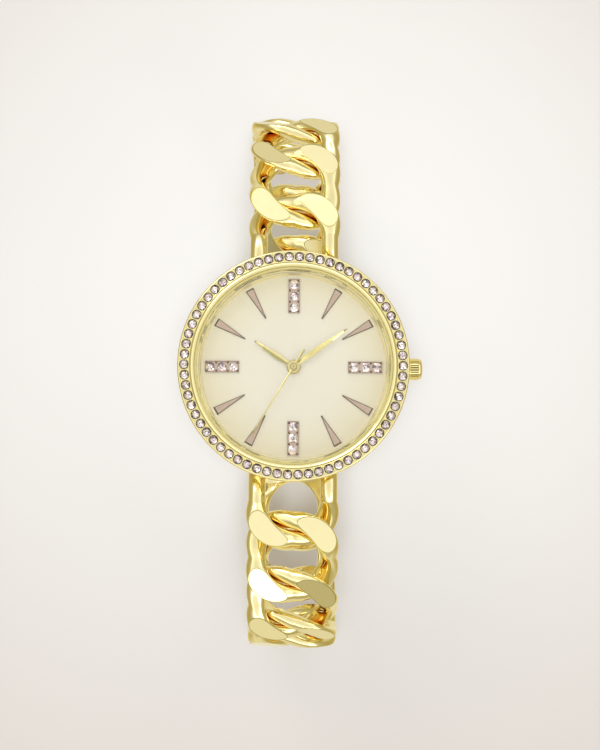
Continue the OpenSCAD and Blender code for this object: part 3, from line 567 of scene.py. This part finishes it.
def cut_flat(blank, side, end, face):
    """Cuts one flat, a little deeper towards the link's end."""
    edit(blank, "FACE")
    pick(blank, "FACE", lambda f: f.calc_center_median().x * side > 0
         and f.calc_center_median().y * end > 0 and f.calc_center_median().z * face > 0)
    bpy.ops.mesh.bisect(
        plane_co=(side * cut_x, end * cut_y, face * cut_h),
        plane_no=(0, end * face * math.sin(cut_slope), face * math.cos(cut_slope)),
        use_fill=True, clear_outer=True, threshold=1e-8)
    bpy.ops.object.mode_set(mode="OBJECT")


def cut_flats(blank):
    """Cuts two flats on each face of the link and gives each a rim."""
    for side, end, face in ((1, 1, 1), (-1, -1, 1), (1, -1, -1), (-1, 1, -1)):
        cut_flat(blank, side, end, face)
    edit(blank, "FACE")
    print("flats:", pick(blank, "FACE", lambda f: len(f.verts) > cut_corners))
    # The rims get the darker gold, painted shade along each cut.
    blank.active_material_index = on_rim
    bpy.ops.object.material_slot_assign()
    bpy.ops.mesh.inset(thickness=rim_w, depth=rim_depth, use_individual=True)
    blank.active_material_index = on_cut
    bpy.ops.object.material_slot_assign()
    bpy.ops.object.mode_set(mode="OBJECT")
    for polygon in blank.data.polygons:
        polygon.use_smooth = polygon.material_index == on_wire


link = link_blank()
coat(link, chain_gold, cut_gold, rim_gold_painted_dark)
cut_flats(link)

# %% [markdown]
# ## The end loops
# At each side of the case the chain starts with half a link. Its two ends run on as round bars
# into the case. The half comes from the finished link by a bisect, and the bars by an extrude.

# %% Half a link with two bars
bar_length = 6.0 * MM
near = 1e-7


def end_loop_blank():
    """Half a link, whose ends run on as bars."""
    loop = copy_of(link, "end loop blank")
    edit_all(loop)
    bpy.ops.mesh.bisect(plane_co=(0, 0, 0), plane_no=(0, 1, 0), use_fill=False, clear_outer=True)
    pick(loop, "EDGE", lambda e: all(abs(v.co.y) < near for v in e.verts))
    bpy.ops.mesh.extrude_edges_move(TRANSFORM_OT_translate={"value": (0, bar_length, 0)})
    pick(loop, "EDGE", lambda e: all(abs(v.co.y - bar_length) < near for v in e.verts))
    bpy.ops.mesh.edge_face_add()
    bpy.ops.mesh.select_all(action="SELECT")
    bpy.ops.mesh.normals_make_consistent(inside=False)
    bpy.ops.object.mode_set(mode="OBJECT")
    return loop


loop = end_loop_blank()

# %% [markdown]
# ## Hanging the chain
# Each link goes between two hinge points of the CAD model. Its local length lies along the line
# between them and its face looks outwards. The upper half is the lower half turned half round.

# %% Place the links and end loops
lug_slope = math.radians(10)
upper = Matrix.Rotation(math.pi, 4, "Z")


def lower_points():
    """The lower half's hinge points, from the case down, and a last point that gives its slope."""
    points = [joint_at[f"lower_hinge_{k}"] for k in range(1, 8)]
    return points + [upper @ joint_at["clasp_hinge"]]


def link_place(start, towards):
    """The place of a link that hangs from one hinge point towards the next."""
    slope = math.atan2(start.z - towards.z, start.y - towards.y)
    middle = start + (towards - start).normalized() * pitch / 2
    return Matrix.Translation(middle) @ Matrix.Rotation(slope, 4, "X")


points = lower_points()
outwards = Vector((0, -math.cos(lug_slope), -math.sin(lug_slope)))
for side, turn in (("lower", Matrix.Identity(4)), ("upper", upper)):
    for k in range(1, 8):
        place = turn @ link_place(points[k - 1], points[k])
        piece = copy_of(link, f"polished_{side}_link_{k}", place)
        seat(piece, f"{side}_link_{k}", "chain_gold", f"{side}_link_{k}")
    place = turn @ link_place(points[0] - outwards * pitch, points[0])
    piece = copy_of(loop, f"polished_{side}_end_loop", place)
    seat(piece, "head", "chain_gold", f"{side}_end_loop")
for blank in (link, loop):
    bpy.data.objects.remove(blank)

# %% [markdown]
# ## Rings turned on a lathe
# The bezel, the hands' hubs and the seconds hand's cap are turned: one outline, spun round the
# dial's axis. It is drawn as points of radius and height above the case back.

# %% Spin helpers


def spun(name, corners, closed, steps, centre, axis):
    """Spins an outline, closed or open, about an axis."""
    count = len(corners)
    edges = [(i, (i + 1) % count) for i in range(count if closed else count - 1)]
    mesh = bpy.data.meshes.new(name)
    mesh.from_pydata(corners, edges, [])
    piece = bpy.data.objects.new(name, mesh)
    bpy.context.scene.collection.objects.link(piece)
    edit_all(piece)
    bpy.ops.mesh.spin(steps=steps, angle=2 * math.pi, center=centre, axis=axis)
    bpy.ops.object.mode_set(mode="OBJECT")
    clean(piece)
    return piece


def turned(name, outline, steps=240, closed=True):
    """A turned ring, or a disc where the open outline starts and ends on the axis."""
    corners = [(r * MM, 0, head_low + h * MM) for r, h in outline]
    return spun(name, corners, closed, steps, (0, 0, 0), (0, 0, 1))


def arc(centre, radius, start, stop, steps=6):
    """Points of a round stretch of an outline."""
    angles = [math.radians(start + (stop - start) * i / steps) for i in range(steps + 1)]
    return [(centre[0] + radius * math.cos(a), centre[1] + radius * math.sin(a)) for a in angles]


# %% [markdown]
# ## The bezel
# The bezel is a gold ring with a flat band, in which the setter drills one seat for each
# stone. Inside it a raised crest falls to the glass, and the wall beside the glass is satin. The
# seats are cut with a Boolean, and their walls are painted dark, as painted shade round each stone.
# Small gold beads, raised between the seats, hold the stones.

# %% Turn the bezel and drill its seats
stone_count = 66
stone_ring_r = 17.0
stone_r = 0.64
seat_r = 0.745
drill_length = 2
rim_h = 7.4
seat_low_h = 6.88
satin_within_r = 15.5
bead_r = 0.17
bead_rings_r = (16.52, 17.5)
bezel_outline = [
    (16.28, 5.5), (17.9, 5.5), (18.05, 5.7),
    *arc((17.77, rim_h - 0.28), 0.28, 0, 90),
    (16.42, rim_h), *arc((16.27, rim_h + 0.08), 0.14, 60, 150, 4),
    (15.95, rim_h - 0.03), (15.62, 7.27), *arc((15.57, 7.17), 0.1, 90, 180, 3),
    (15.47, 6.03), (16.28, 6.03),
]


def at_clock(angle):
    """A turn about the dial's axis, as a clock angle from 12."""
    return Matrix.Rotation(-math.radians(angle), 4, "Z")


def on_head(radius, height):
    """A place on the 12 o'clock line, from a radius and a height above the case back."""
    return Matrix.Translation((0, radius * MM, head_low + height * MM))


def all_round(piece, name, angles, place, spin=0, tip=0):
    """Copies of a piece round the dial as one mesh, each with its own spin and tip."""
    copies = [
        copy_of(piece, f"{name} {i}",
                at_clock(angle) @ place @ Matrix.Rotation(math.radians(spin * i), 4, "Z")
                @ Matrix.Rotation(math.radians(tip * math.sin(2.4 * i)), 4, "X"))
        for i, angle in enumerate(angles)
    ]
    return join(copies, name)


stone_angles = [360 * (i + 0.5) / stone_count for i in range(stone_count)]
bezel = turned("stone_set_bezel", bezel_outline)
bpy.ops.mesh.primitive_cylinder_add(vertices=24, radius=seat_r * MM, depth=drill_length * MM,
                                    location=(0, 0, drill_length / 2 * MM))
drill = named("seat drill")
choose(drill)
bpy.ops.object.transform_apply(location=True, rotation=True, scale=True)
drills = all_round(drill, "seat drills", stone_angles, on_head(stone_ring_r, seat_low_h))
# The seats' walls get the dark gold, painted shade round each stone.
coat(bezel, polished_gold, seat_wall_painted_shade)
coat(drills, seat_wall_painted_shade)
choose(bezel)
boolean = bezel.modifiers.new("seats", "BOOLEAN")
boolean.operation = "DIFFERENCE"
boolean.solver = "EXACT"
boolean.material_mode = "TRANSFER"
boolean.object = drills
bpy.ops.object.modifier_apply(modifier="seats")
for used in (drill, drills):
    bpy.data.objects.remove(used)
bezel.data.materials.append(flange_gold)
for polygon in bezel.data.polygons:
    if polygon.center.xy.length < satin_within_r * MM:
        polygon.material_index = 2
smooth(bezel, 30)
seat(bezel, "head", "gold", "bezel")
print("bezel faces:", len(bezel.data.polygons))

# %% Raise the beads that hold the stones
bpy.ops.mesh.primitive_uv_sphere_add(segments=10, ring_count=6, radius=bead_r * MM)
bead = named("setting bead")
choose(bead)
bpy.ops.object.shade_smooth()
coat(bead, polished_gold)
gap_angles = [360 * i / stone_count for i in range(stone_count)]
bead_rings = [
    all_round(bead, f"beads at {radius}", gap_angles, on_head(radius, rim_h + 0.02))
    for radius in bead_rings_r
]
beads = join(bead_rings, "setting_beads")
bpy.data.objects.remove(bead)
seat(beads, "head", "gold")

# %% [markdown]
# ## The bezel's stones
# Each stone is a small brilliant: a flat table, a crown of sloping facets, a girdle and a deep
# pavilion. A cone with few sides gives the crown, and extrudes give the table, the girdle and the
# pavilion. Bevelling the crown's corners doubles its facets. The stones are turned differently,
# as a setter drops them in, so they sparkle differently.

# %% Cut one stone and set all of them


def brilliant(name, radius, crown, depth):
    """A stone from its radius, the height of its crown and the depth of its pavilion."""
    crown_top, table, table_rise, dip = 0.62, 0.6, 0.3, 0.12
    girdle_t, culet, corner = 0.04, 0.06, 0.15
    bpy.ops.mesh.primitive_cone_add(
        vertices=8, radius1=radius * MM, radius2=radius * crown_top * MM,
        depth=crown * MM, location=(0, 0, crown / 2 * MM))
    stone = named(name)
    choose(stone)
    bpy.ops.object.transform_apply(location=True, rotation=True, scale=True)
    edit(stone, "FACE")
    pick(stone, "FACE", lambda f: f.normal.z > 0.9)
    bpy.ops.mesh.extrude_region_move(
        TRANSFORM_OT_translate={"value": (0, 0, crown * table_rise * MM)})
    bpy.ops.transform.resize(value=(table, table, 1))
    bpy.ops.mesh.poke(offset=-dip * radius * MM)
    pick(stone, "FACE", lambda f: f.normal.z < -0.9)
    bpy.ops.mesh.extrude_region_move(TRANSFORM_OT_translate={"value": (0, 0, -girdle_t * MM)})
    bpy.ops.mesh.extrude_region_move(TRANSFORM_OT_translate={"value": (0, 0, -depth * MM)})
    bpy.ops.transform.resize(value=(culet, culet, 1))
    bpy.ops.mesh.select_mode(type="EDGE")
    pick(stone, "EDGE", lambda e: min(v.co.z for v in e.verts) > -0.01 * MM
         and max(v.co.z for v in e.verts) - min(v.co.z for v in e.verts) > 0.8 * crown * MM)
    bpy.ops.mesh.bevel(offset=corner * radius * MM, segments=1, affect="EDGES")
    bpy.ops.object.mode_set(mode="OBJECT")
    coat(stone, crystal)
    return stone


stone = brilliant("bezel stone", stone_r, 0.14, 0.36)
bezel_stones = all_round(stone, "crystals_in_bezel", stone_angles,
                         on_head(stone_ring_r, rim_h - 0.03), spin=17, tip=4)
bpy.data.objects.remove(stone)
seat(bezel_stones, "head", "stone", "bezel_stones")

# %% [markdown]
# ## The case
# The CAD case has the right shape, with its lug sockets and the bore for the crown tube. Its mesh
# is loose triangles, so a merged copy with smooth shading replaces it. Where a piece gets rounded
# edges too, its triangles are first dissolved into large flats, and the flats then set the
# shading of the narrow roundings beside them.

# %% Smooth copies of the case pieces


def finished_copy(node, name, body, slot, material, width=0):
    """A merged copy of a CAD node, rounded where a width is given, which replaces the node."""
    merge_gap, flat_angle = 0.0005 * MM, math.radians(0.4)
    piece = copy_of(nodes[node], name)
    coat(piece, material)
    choose(piece)
    if piece.data.has_custom_normals:
        bpy.ops.mesh.customdata_custom_splitnormals_clear()
    edit_all(piece)
    bpy.ops.mesh.remove_doubles(threshold=merge_gap)
    if width:
        bpy.ops.mesh.dissolve_limited(angle_limit=flat_angle)
    bpy.ops.object.mode_set(mode="OBJECT")
    if width:
        soften(piece, width)
    smooth(piece, 30)
    if width:
        even_shading(piece)
    print(name, "faces:", len(piece.data.polygons))
    seat(piece, body, slot, node)


finished_copy("case_body", "polished_case", "head", "gold", polished_gold)
finished_copy("case_back", "turned_case_back", "head", "steel", back_steel)
finished_copy("inner_flange", "satin_flange", "head", "gold", flange_gold)

# %% [markdown]
# ## The crown
# The crown is a small drum with fine flutes for the fingers, a plain collar towards the case and a
# domed cap. One outline is spun with four faces to each flute, and two of every four faces are
# pushed inwards.

# %% Flute the crown
crown_low, crown_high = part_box("crown")
crown_r = (crown_high.y - crown_low.y) / 2 / MM
crown_length = (crown_high.x - crown_low.x) / MM
crown_axis = (crown_low.z + crown_high.z) / 2
crown_start = crown_low.x
flutes = 28
flute_start, flute_end, flute_depth = 0.34, 1.5, 0.12


def plain_crown():
    """The crown's drum with its collar and cap, spun about its own axis."""
    outline = [
        (0.9, 0.0), (crown_r - 0.2, 0.0), (crown_r - 0.05, 0.07), (crown_r - 0.05, 0.26),
        (crown_r, flute_start), (crown_r, flute_end), (crown_r - 0.08, flute_end + 0.06),
        *arc((crown_r - 0.6, flute_end + 0.1), 0.5, 0, 60, 5),
        (0.5, crown_length - 0.05), (0.0, crown_length),
    ]
    corners = [(crown_start + x * MM, 0, crown_axis + r * MM) for r, x in outline]
    return spun("fluted_crown", corners, False, flutes * 4, (0, 0, crown_axis), (1, 0, 0))


def press_flutes(crown):
    """Pushes two of every four faces of the drum towards the axis."""
    low, high = crown_start + flute_start * MM, crown_start + flute_end * MM

    def in_flute(face):
        centre = face.calc_center_median()
        angle = math.atan2(centre.y, centre.z - crown_axis) / (2 * math.pi) * flutes
        return low < centre.x < high and (angle % 1.0) < 0.5

    edit(crown, "FACE")
    print("flute faces:", pick(crown, "FACE", in_flute))
    bpy.ops.mesh.inset(thickness=0.03 * MM, depth=-flute_depth * MM)
    crown.active_material_index = 1
    bpy.ops.object.material_slot_assign()
    bpy.ops.object.mode_set(mode="OBJECT")


crown = plain_crown()
coat(crown, crown_gold, dark_groove)
press_flutes(crown)
smooth(crown, 28)
seat(crown, "crown", "gold", "crown")

# %% [markdown]
# ## The markers
# Eight wedges point to the centre. Each is a thin bar with bevelled edges, plated in pale rose.
# The four batons at 12, 3, 6 and 9 are plates with three stones each, held by beads at their
# corners.

# %% Wedges
wedge_in_r, wedge_out_r, wedge_w, wedge_tip_w, marker_t = 8.8, 14.05, 1.35, 0.18, 0.3
end_slope_w, side_slope_w = 0.24, 0.11
near_top, near_end = (marker_t - 0.05) * MM, (wedge_out_r - 0.05) * MM


def two_roses(piece):
    """Pale rose on the faces that look up, and shaded rose on the slopes and sides."""
    coat(piece, rose_plate, rose_edge)
    for polygon in piece.data.polygons:
        polygon.material_index = 0 if polygon.normal.z > 0.97 else 1


def wedge():
    """A wedge marker that points to the centre, at 12."""
    bpy.ops.mesh.primitive_cube_add(size=1)
    piece = named("wedge")
    for vertex in piece.data.vertices:
        outer = vertex.co.y > 0
        half = (wedge_w if outer else wedge_tip_w) / 2
        vertex.co = Vector((math.copysign(half, vertex.co.x) * MM,
                            (wedge_out_r if outer else wedge_in_r) * MM,
                            (marker_t if vertex.co.z > 0 else 0) * MM))
    edit(piece, "EDGE")
    pick(piece, "EDGE", lambda e: all(v.co.z > near_top and v.co.y > near_end for v in e.verts))
    bpy.ops.mesh.bevel(offset=end_slope_w * MM, segments=1, affect="EDGES")
    pick(piece, "EDGE", lambda e: all(v.co.z > near_top for v in e.verts)
         and abs(e.verts[0].co.y - e.verts[1].co.y) > wedge_w * MM)
    bpy.ops.mesh.bevel(offset=side_slope_w * MM, segments=1, affect="EDGES")
    bpy.ops.object.mode_set(mode="OBJECT")
    two_roses(piece)
    return piece


dial_h = (dial_top - head_low) / MM
one_wedge = wedge()
wedges = all_round(one_wedge, "rose_wedges", [30 * h for h in range(12) if h % 3],
                   on_head(0, dial_h))
bpy.data.objects.remove(one_wedge)
seat(wedges, "head", "rose_plate", "wedge_markers")

# %% Batons with their beads and stones
baton_in_r, baton_out_r, baton_w = 8.5, 13.9, 1.85
corner_bead_r, bead_inset, bead_end_inset, bead_sink = 0.2, 0.26, 0.27, 0.08
tray_rim_w, tray_wall_w, tray_depth = 0.1, 0.05, 0.16
baton_step = (baton_out_r - baton_in_r) / 3
stone_radii = [baton_in_r + baton_step * (i + 0.5) for i in range(3)]
corner_radii = [baton_in_r + baton_step * i for i in range(4)]


def baton():
    """A plate with a raised rim, and beads at the corners of its three stones."""
    length = baton_out_r - baton_in_r
    bpy.ops.mesh.primitive_cube_add(size=1)
    plate = named("baton plate")
    for vertex in plate.data.vertices:
        vertex.co = Vector((vertex.co.x * baton_w * MM,
                            ((baton_in_r + baton_out_r) / 2 + vertex.co.y * length) * MM,
                            (vertex.co.z + 0.5) * marker_t * MM))
    edit(plate, "FACE")
    pick(plate, "FACE", lambda f: f.normal.z > 0.9)
    bpy.ops.mesh.inset(thickness=tray_rim_w * MM, depth=0)
    bpy.ops.mesh.inset(thickness=tray_wall_w * MM, depth=-tray_depth * MM)
    bpy.ops.object.mode_set(mode="OBJECT")
    two_roses(plate)
    pieces = [plate]
    for radius in corner_radii:
        for x in (-1, 1):
            y = min(max(radius, baton_in_r + bead_end_inset), baton_out_r - bead_end_inset)
            bpy.ops.mesh.primitive_uv_sphere_add(
                segments=10, ring_count=6, radius=corner_bead_r * MM,
                location=(x * (baton_w / 2 - bead_inset) * MM, y * MM, (marker_t - bead_sink) * MM))
            ball = named("baton bead")
            choose(ball)
            bpy.ops.object.transform_apply(location=True, rotation=True, scale=True)
            coat(ball, rose_edge)
            pieces.append(ball)
    return join(pieces, "baton")


one_baton = baton()
batons = all_round(one_baton, "rose_batons", [0, 90, 180, 270], on_head(0, dial_h))
bpy.data.objects.remove(one_baton)
seat(batons, "head", "rose_plate", "baton_markers")
marker_stone_r = 0.74
small_stone = brilliant("marker stone", marker_stone_r, 0.14, 0.14)
rows = [
    all_round(small_stone, f"marker stones {i}", [0, 90, 180, 270],
              on_head(radius, dial_h + marker_t), spin=23, tip=5)
    for i, radius in enumerate(stone_radii)
]
marker_stones = join(rows, "crystals_in_batons")
bpy.data.objects.remove(small_stone)
seat(marker_stones, "head", "stone", "marker_stones")

# %% [markdown]
# ## The hands
# Dress-watch hands are stamped with a ridge along the middle, so that one half catches the light
# and the other turns dark. The bright half is polished; the other is satin and painted darker, as
# painted shade. A grid three points wide takes the outline, its middle column is raised, and an
# extrude gives it thickness.

# %% Ridged hands
hour_angle, minute_angle, seconds_angle = 303.3, 54.2, 211.0
sheet_t, blade_t, blade_ridge = 0.05, 0.15, 0.09
hub_slope = 0.09


def ridged_blade(name, rows, height, thick, ridge):
    """A blade drawn towards 12 from rows of (distance, width), with its middle line raised."""
    bpy.ops.mesh.primitive_grid_add(x_subdivisions=2, y_subdivisions=len(rows) - 1, size=1)
    blade = named(name)
    columns = sorted({round(v.co.x, 4) for v in blade.data.vertices})
    lines = sorted({round(v.co.y, 4) for v in blade.data.vertices})
    for vertex in blade.data.vertices:
        column = columns.index(round(vertex.co.x, 4)) - 1
        distance, width = rows[lines.index(round(vertex.co.y, 4))]
        lift = ridge if column == 0 else 0
        vertex.co = Vector((column * width / 2 * MM, distance * MM,
                            head_low + (height + thick - ridge + lift) * MM))
    edit(blade, "FACE")
    bpy.ops.mesh.select_all(action="SELECT")
    bpy.ops.mesh.extrude_region_move(TRANSFORM_OT_translate={"value": (0, 0, -sheet_t * MM)})
    bpy.ops.object.mode_set(mode="OBJECT")
    clean(blade)
    coat(blade, hand_bright, hand_satin_painted_shade)
    # One half of the blade gets the darker satin gold, painted shade.
    for polygon in blade.data.polygons:
        polygon.material_index = 0 if polygon.center.x > 0 else 1
    return blade


def hub(radius, bore, height, thick):
    """A turned ring with sloped edges, round a hand's axis."""
    top, slope_low = height + thick, height + thick - hub_slope
    outline = [(bore, height), (radius, height), (radius, slope_low), (radius - hub_slope, top),
               (bore + hub_slope, top), (bore, slope_low)]
    ring = turned("hub", outline, 64)
    coat(ring, hand_bright)
    return ring


def hand(name, body, node, angle, parts):
    """Joins a hand's parts and turns the hand to its clock angle."""
    piece = join(parts, name)
    piece.data.transform(at_clock(angle))
    smooth(piece, 8)
    seat(piece, body, "hand_gold", node)


hour_h = (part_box("hour_hand")[0].z - head_low) / MM
minute_h = (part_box("minute_hand")[0].z - head_low) / MM
seconds_h = (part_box("seconds_hand")[0].z - head_low) / MM
hour_rows = [(0.9, 0.62), (1.6, 0.72), (2.8, 1.0), (4.2, 0.84), (5.8, 0.54), (7.0, 0.26),
             (7.3, 0.1)]
minute_rows = [(0.8, 0.5), (1.6, 0.62), (3.2, 0.92), (5.0, 0.8), (7.4, 0.54), (9.6, 0.26),
               (10.3, 0.08)]
hand("hour_hand_ridged", "hour", "hour_hand", hour_angle,
     [ridged_blade("hour blade", hour_rows, hour_h, blade_t, blade_ridge),
      hub(1.12, 0.76, hour_h, blade_t)])
hand("minute_hand_ridged", "minute", "minute_hand", minute_angle,
     [ridged_blade("minute blade", minute_rows, minute_h, blade_t, blade_ridge),
      hub(1.05, 0.46, minute_h, blade_t)])

# %% The seconds hand with its tail and cap
seconds_rows = [(0.5, 0.26), (4.0, 0.24), (9.0, 0.2), (12.5, 0.12)]
tail_rows = [(-3.1, 0.44), (-1.5, 0.38), (-0.5, 0.28)]
thin_t, thin_ridge, cap_step = 0.12, 0.05, 0.12
cap_outline = [(0.0, seconds_h), (0.62, seconds_h), (0.62, seconds_h + cap_step),
               (0.6, seconds_h + 0.14), (0.51, seconds_h + 0.14), (0.49, seconds_h + 0.08),
               (0.45, seconds_h + 0.08), (0.43, seconds_h + 0.2), (0.17, seconds_h + 0.2),
               (0.14, seconds_h + 0.1), (0.0, seconds_h + 0.1)]
cap = turned("seconds cap", cap_outline, 64, closed=False)
coat(cap, hand_bright, dark_groove)
groove_top = head_low + (seconds_h + cap_step) * MM
for polygon in cap.data.polygons:
    polygon.material_index = 0 if polygon.center.z > groove_top else 1
hand("seconds_hand_ridged", "seconds", "seconds_hand", seconds_angle,
     [ridged_blade("seconds blade", seconds_rows, seconds_h, thin_t, thin_ridge),
      ridged_blade("seconds tail", tail_rows, seconds_h, thin_t, thin_ridge),
      cap])
arbor_top = (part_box("seconds_wheel")[1].z - head_low) / MM
print("arbor top", round(arbor_top, 2), "mm, cap from", round(seconds_h, 2), "mm")

# %% [markdown]
# ## The clasp
# The fold-over clasp under the case is stamped, bent, tumbled and gold plated, so all its edges
# are round. Merged copies of the CAD pieces get a bevel.

# %% Soften the clasp
finished_copy("clasp_cover", "polished_clasp_cover", "clasp", "gold", polished_gold, 0.15)
finished_copy("clasp_leaf", "polished_clasp_leaf", "leaf", "gold", polished_gold, 0.12)

# %% [markdown]
# ## Finishes for the CAD pieces that stay
# The other CAD pieces have the right shape already, so each only gets its finish.

# %% Give each remaining CAD piece its finish
kept = {
    "dial": dial_cream, "glass": glass_clear, "glass_gasket": gasket_painted_gold_show_through,
    "back_gasket": seal_rubber, "crown_gasket": seal_rubber, "crown_tube": bright_steel,
    "setting_stem": bright_steel, "setting_pinion": bright_steel, "setting_lever": bright_steel,
    "movement_holder": holder_white, "main_plate": nickel, "train_bridge": nickel,
    "battery": cell_steel, "battery_clamp": bright_steel, "coil": copper,
    "coil_core": bright_steel, "stator": bright_steel, "rotor": magnet, "step_wheel": gilt_brass,
    "seconds_wheel": gilt_brass, "third_wheel": gilt_brass, "centre_wheel": gilt_brass,
    "minute_wheel": gilt_brass, "hour_wheel": gilt_brass, "circuit_board": board_green,
    "quartz_can": nickel, "movement_screws": bright_steel, "clasp_pin": bright_steel,
}
for name, material in kept.items():
    coat(nodes[name], material)

# %% [markdown]
# ## Floor, light and camera
# The photograph is a product shot from above on a warm white ground. The world is a light tent
# whose brightness changes with height, and which is darker at its sides, so polished metal shows
# soft bands. Two softboxes add highlights and faint shadows, and a spot from above makes a pool of
# light on the floor.

# %% Floor
bpy.ops.mesh.primitive_plane_add(size=6)
floor = named("studio_floor")
floor_material, floor_tree, floor_shader, floor_place = finish_named(
    "matt paper", {"Roughness": 0.9, "Specular IOR Level": 0.1})
paper = noise(floor_tree, floor_place, 60, 2.0)
paint(floor_tree, floor_shader, paper, "#D1CAC6", "#D4CDC9")
coat(floor, floor_material)
floor.visible_glossy = False

# %% Light tent
world = bpy.data.worlds.new("light tent")
bpy.context.scene.world = world
world.use_nodes = True
tent = world.node_tree
tent.nodes.clear()
direction = add(tent, "ShaderNodeTexCoord").outputs["Generated"]
ways = add(tent, "ShaderNodeSeparateXYZ", links={"Vector": direction})
height = part_way(tent, ways.outputs["Z"], -1.0, 1.0)
sideways = add(tent, "ShaderNodeMath", {"operation": "ABSOLUTE"}, {0: ways.outputs["X"]}).outputs[0]
to_side = part_way(tent, sideways, 0.35, 0.8)
ends = [(0.0, 0.86, 0.72), (0.09, 0.78, 0.72), (0.274, 0.76, 0.8), (0.371, 0.82, 0.8),
        (0.447, 0.76, 0.82), (0.5, 0.56, 0.66), (0.552, 0.52, 0.64), (0.675, 0.48, 0.66),
        (0.735, 0.95, 0.96), (0.795, 1.1, 1.0), (0.812, 2.3, 1.0), (0.858, 2.3, 1.0),
        (0.872, 1.05, 0.98), (0.95, 1.0, 0.97), (0.97, 0.9, 0.95), (1.0, 0.86, 0.95)]
sides = [(0.0, 0.72, 0.42), (0.25, 0.5, 0.38), (0.5, 0.44, 0.45), (0.7, 0.52, 0.6),
         (0.8, 0.8, 0.9), (0.88, 1.15, 1.0), (0.93, 1.0, 0.97), (1.0, 0.88, 0.95)]


def bands(stops):
    """The tent from straight down, 0, to straight up, 1, by rows of height, brightness, coolness."""
    node = add(tent, "ShaderNodeValToRGB", links={"Fac": height})
    ramp = node.color_ramp
    while len(ramp.elements) < len(stops):
        ramp.elements.new(0.5)
    for element, (position, level, cool) in zip(ramp.elements, stops):
        element.position = position
        element.color = (level, level * (0.75 + 0.25 * cool), level * cool, 1)
    return node.outputs["Color"]


glow = colour_between(tent, to_side, bands(ends), bands(sides))
background = add(tent, "ShaderNodeBackground", {"Strength": 1.0}, {"Color": glow})
add(tent, "ShaderNodeOutputWorld", links={"Surface": background.outputs["Background"]})


def softbox(name, place, size, power):
    """A round softbox, aimed at the watch."""
    bpy.ops.object.light_add(type="AREA", location=place)
    lamp = bpy.context.object
    lamp.name = name
    lamp.data.shape = "DISK"
    lamp.data.size = size
    lamp.data.energy = power
    lamp.rotation_euler = (lit_at - Vector(place)).to_track_quat("-Z", "Y").to_euler()


lit_at = Vector((0.0, 0.0, 0.03))
softbox("key softbox", (-0.25, 0.45, 0.55), 0.35, 0.6)
softbox("fill softbox", (0.4, -0.35, 0.45), 0.3, 0.3)
pool_from, pool_at = Vector((0.0, -0.062, 0.62)), Vector((0.0, 0.019, 0.0))
bpy.ops.object.light_add(type="SPOT", location=pool_from)
pool = bpy.context.object
pool.rotation_euler = (pool_at - pool_from).to_track_quat("-Z", "Y").to_euler()
pool.name = "pool of light"
pool.data.energy = 13.0
pool.data.color = (0.73, 0.89, 1.0)
pool.data.spot_size = math.radians(18)
pool.data.spot_blend = 1.0
pool.data.shadow_soft_size = 0.06
pool.visible_glossy = False

# %% Camera
millimetres_per_pixel = 0.1549
picture_height = 750
lens = 100.0
sensor = 36.0
tilt = math.radians(6.0)
roll = math.radians(0.4)
aim_x, aim_y = 1.008 * MM, -1.551 * MM
aim = Vector((aim_x, aim_y, head_low + rim_h * MM))
distance = millimetres_per_pixel * MM * picture_height * lens / sensor
camera_data = bpy.data.cameras.new("camera")
camera_data.lens = lens
camera_data.sensor_width = sensor
camera_data.clip_start = 0.01
camera = bpy.data.objects.new("camera", camera_data)
bpy.context.scene.collection.objects.link(camera)
backwards = Vector((0, -math.sin(tilt), math.cos(tilt)))
looking = Matrix.Rotation(tilt, 4, "X") @ Matrix.Rotation(roll, 4, "Z")
camera.matrix_world = Matrix.Translation(aim + backwards * distance) @ looking
bpy.context.scene.camera = camera
bpy.context.scene.view_settings.view_transform = "Standard"
bpy.context.scene.view_settings.look = "None"

# %% [markdown]
# ## Leave the scene tidy
# Nothing is left selected, and the scene is brought up to date.

# %% Leave nothing selected
deselect()
bpy.context.view_layer.update()
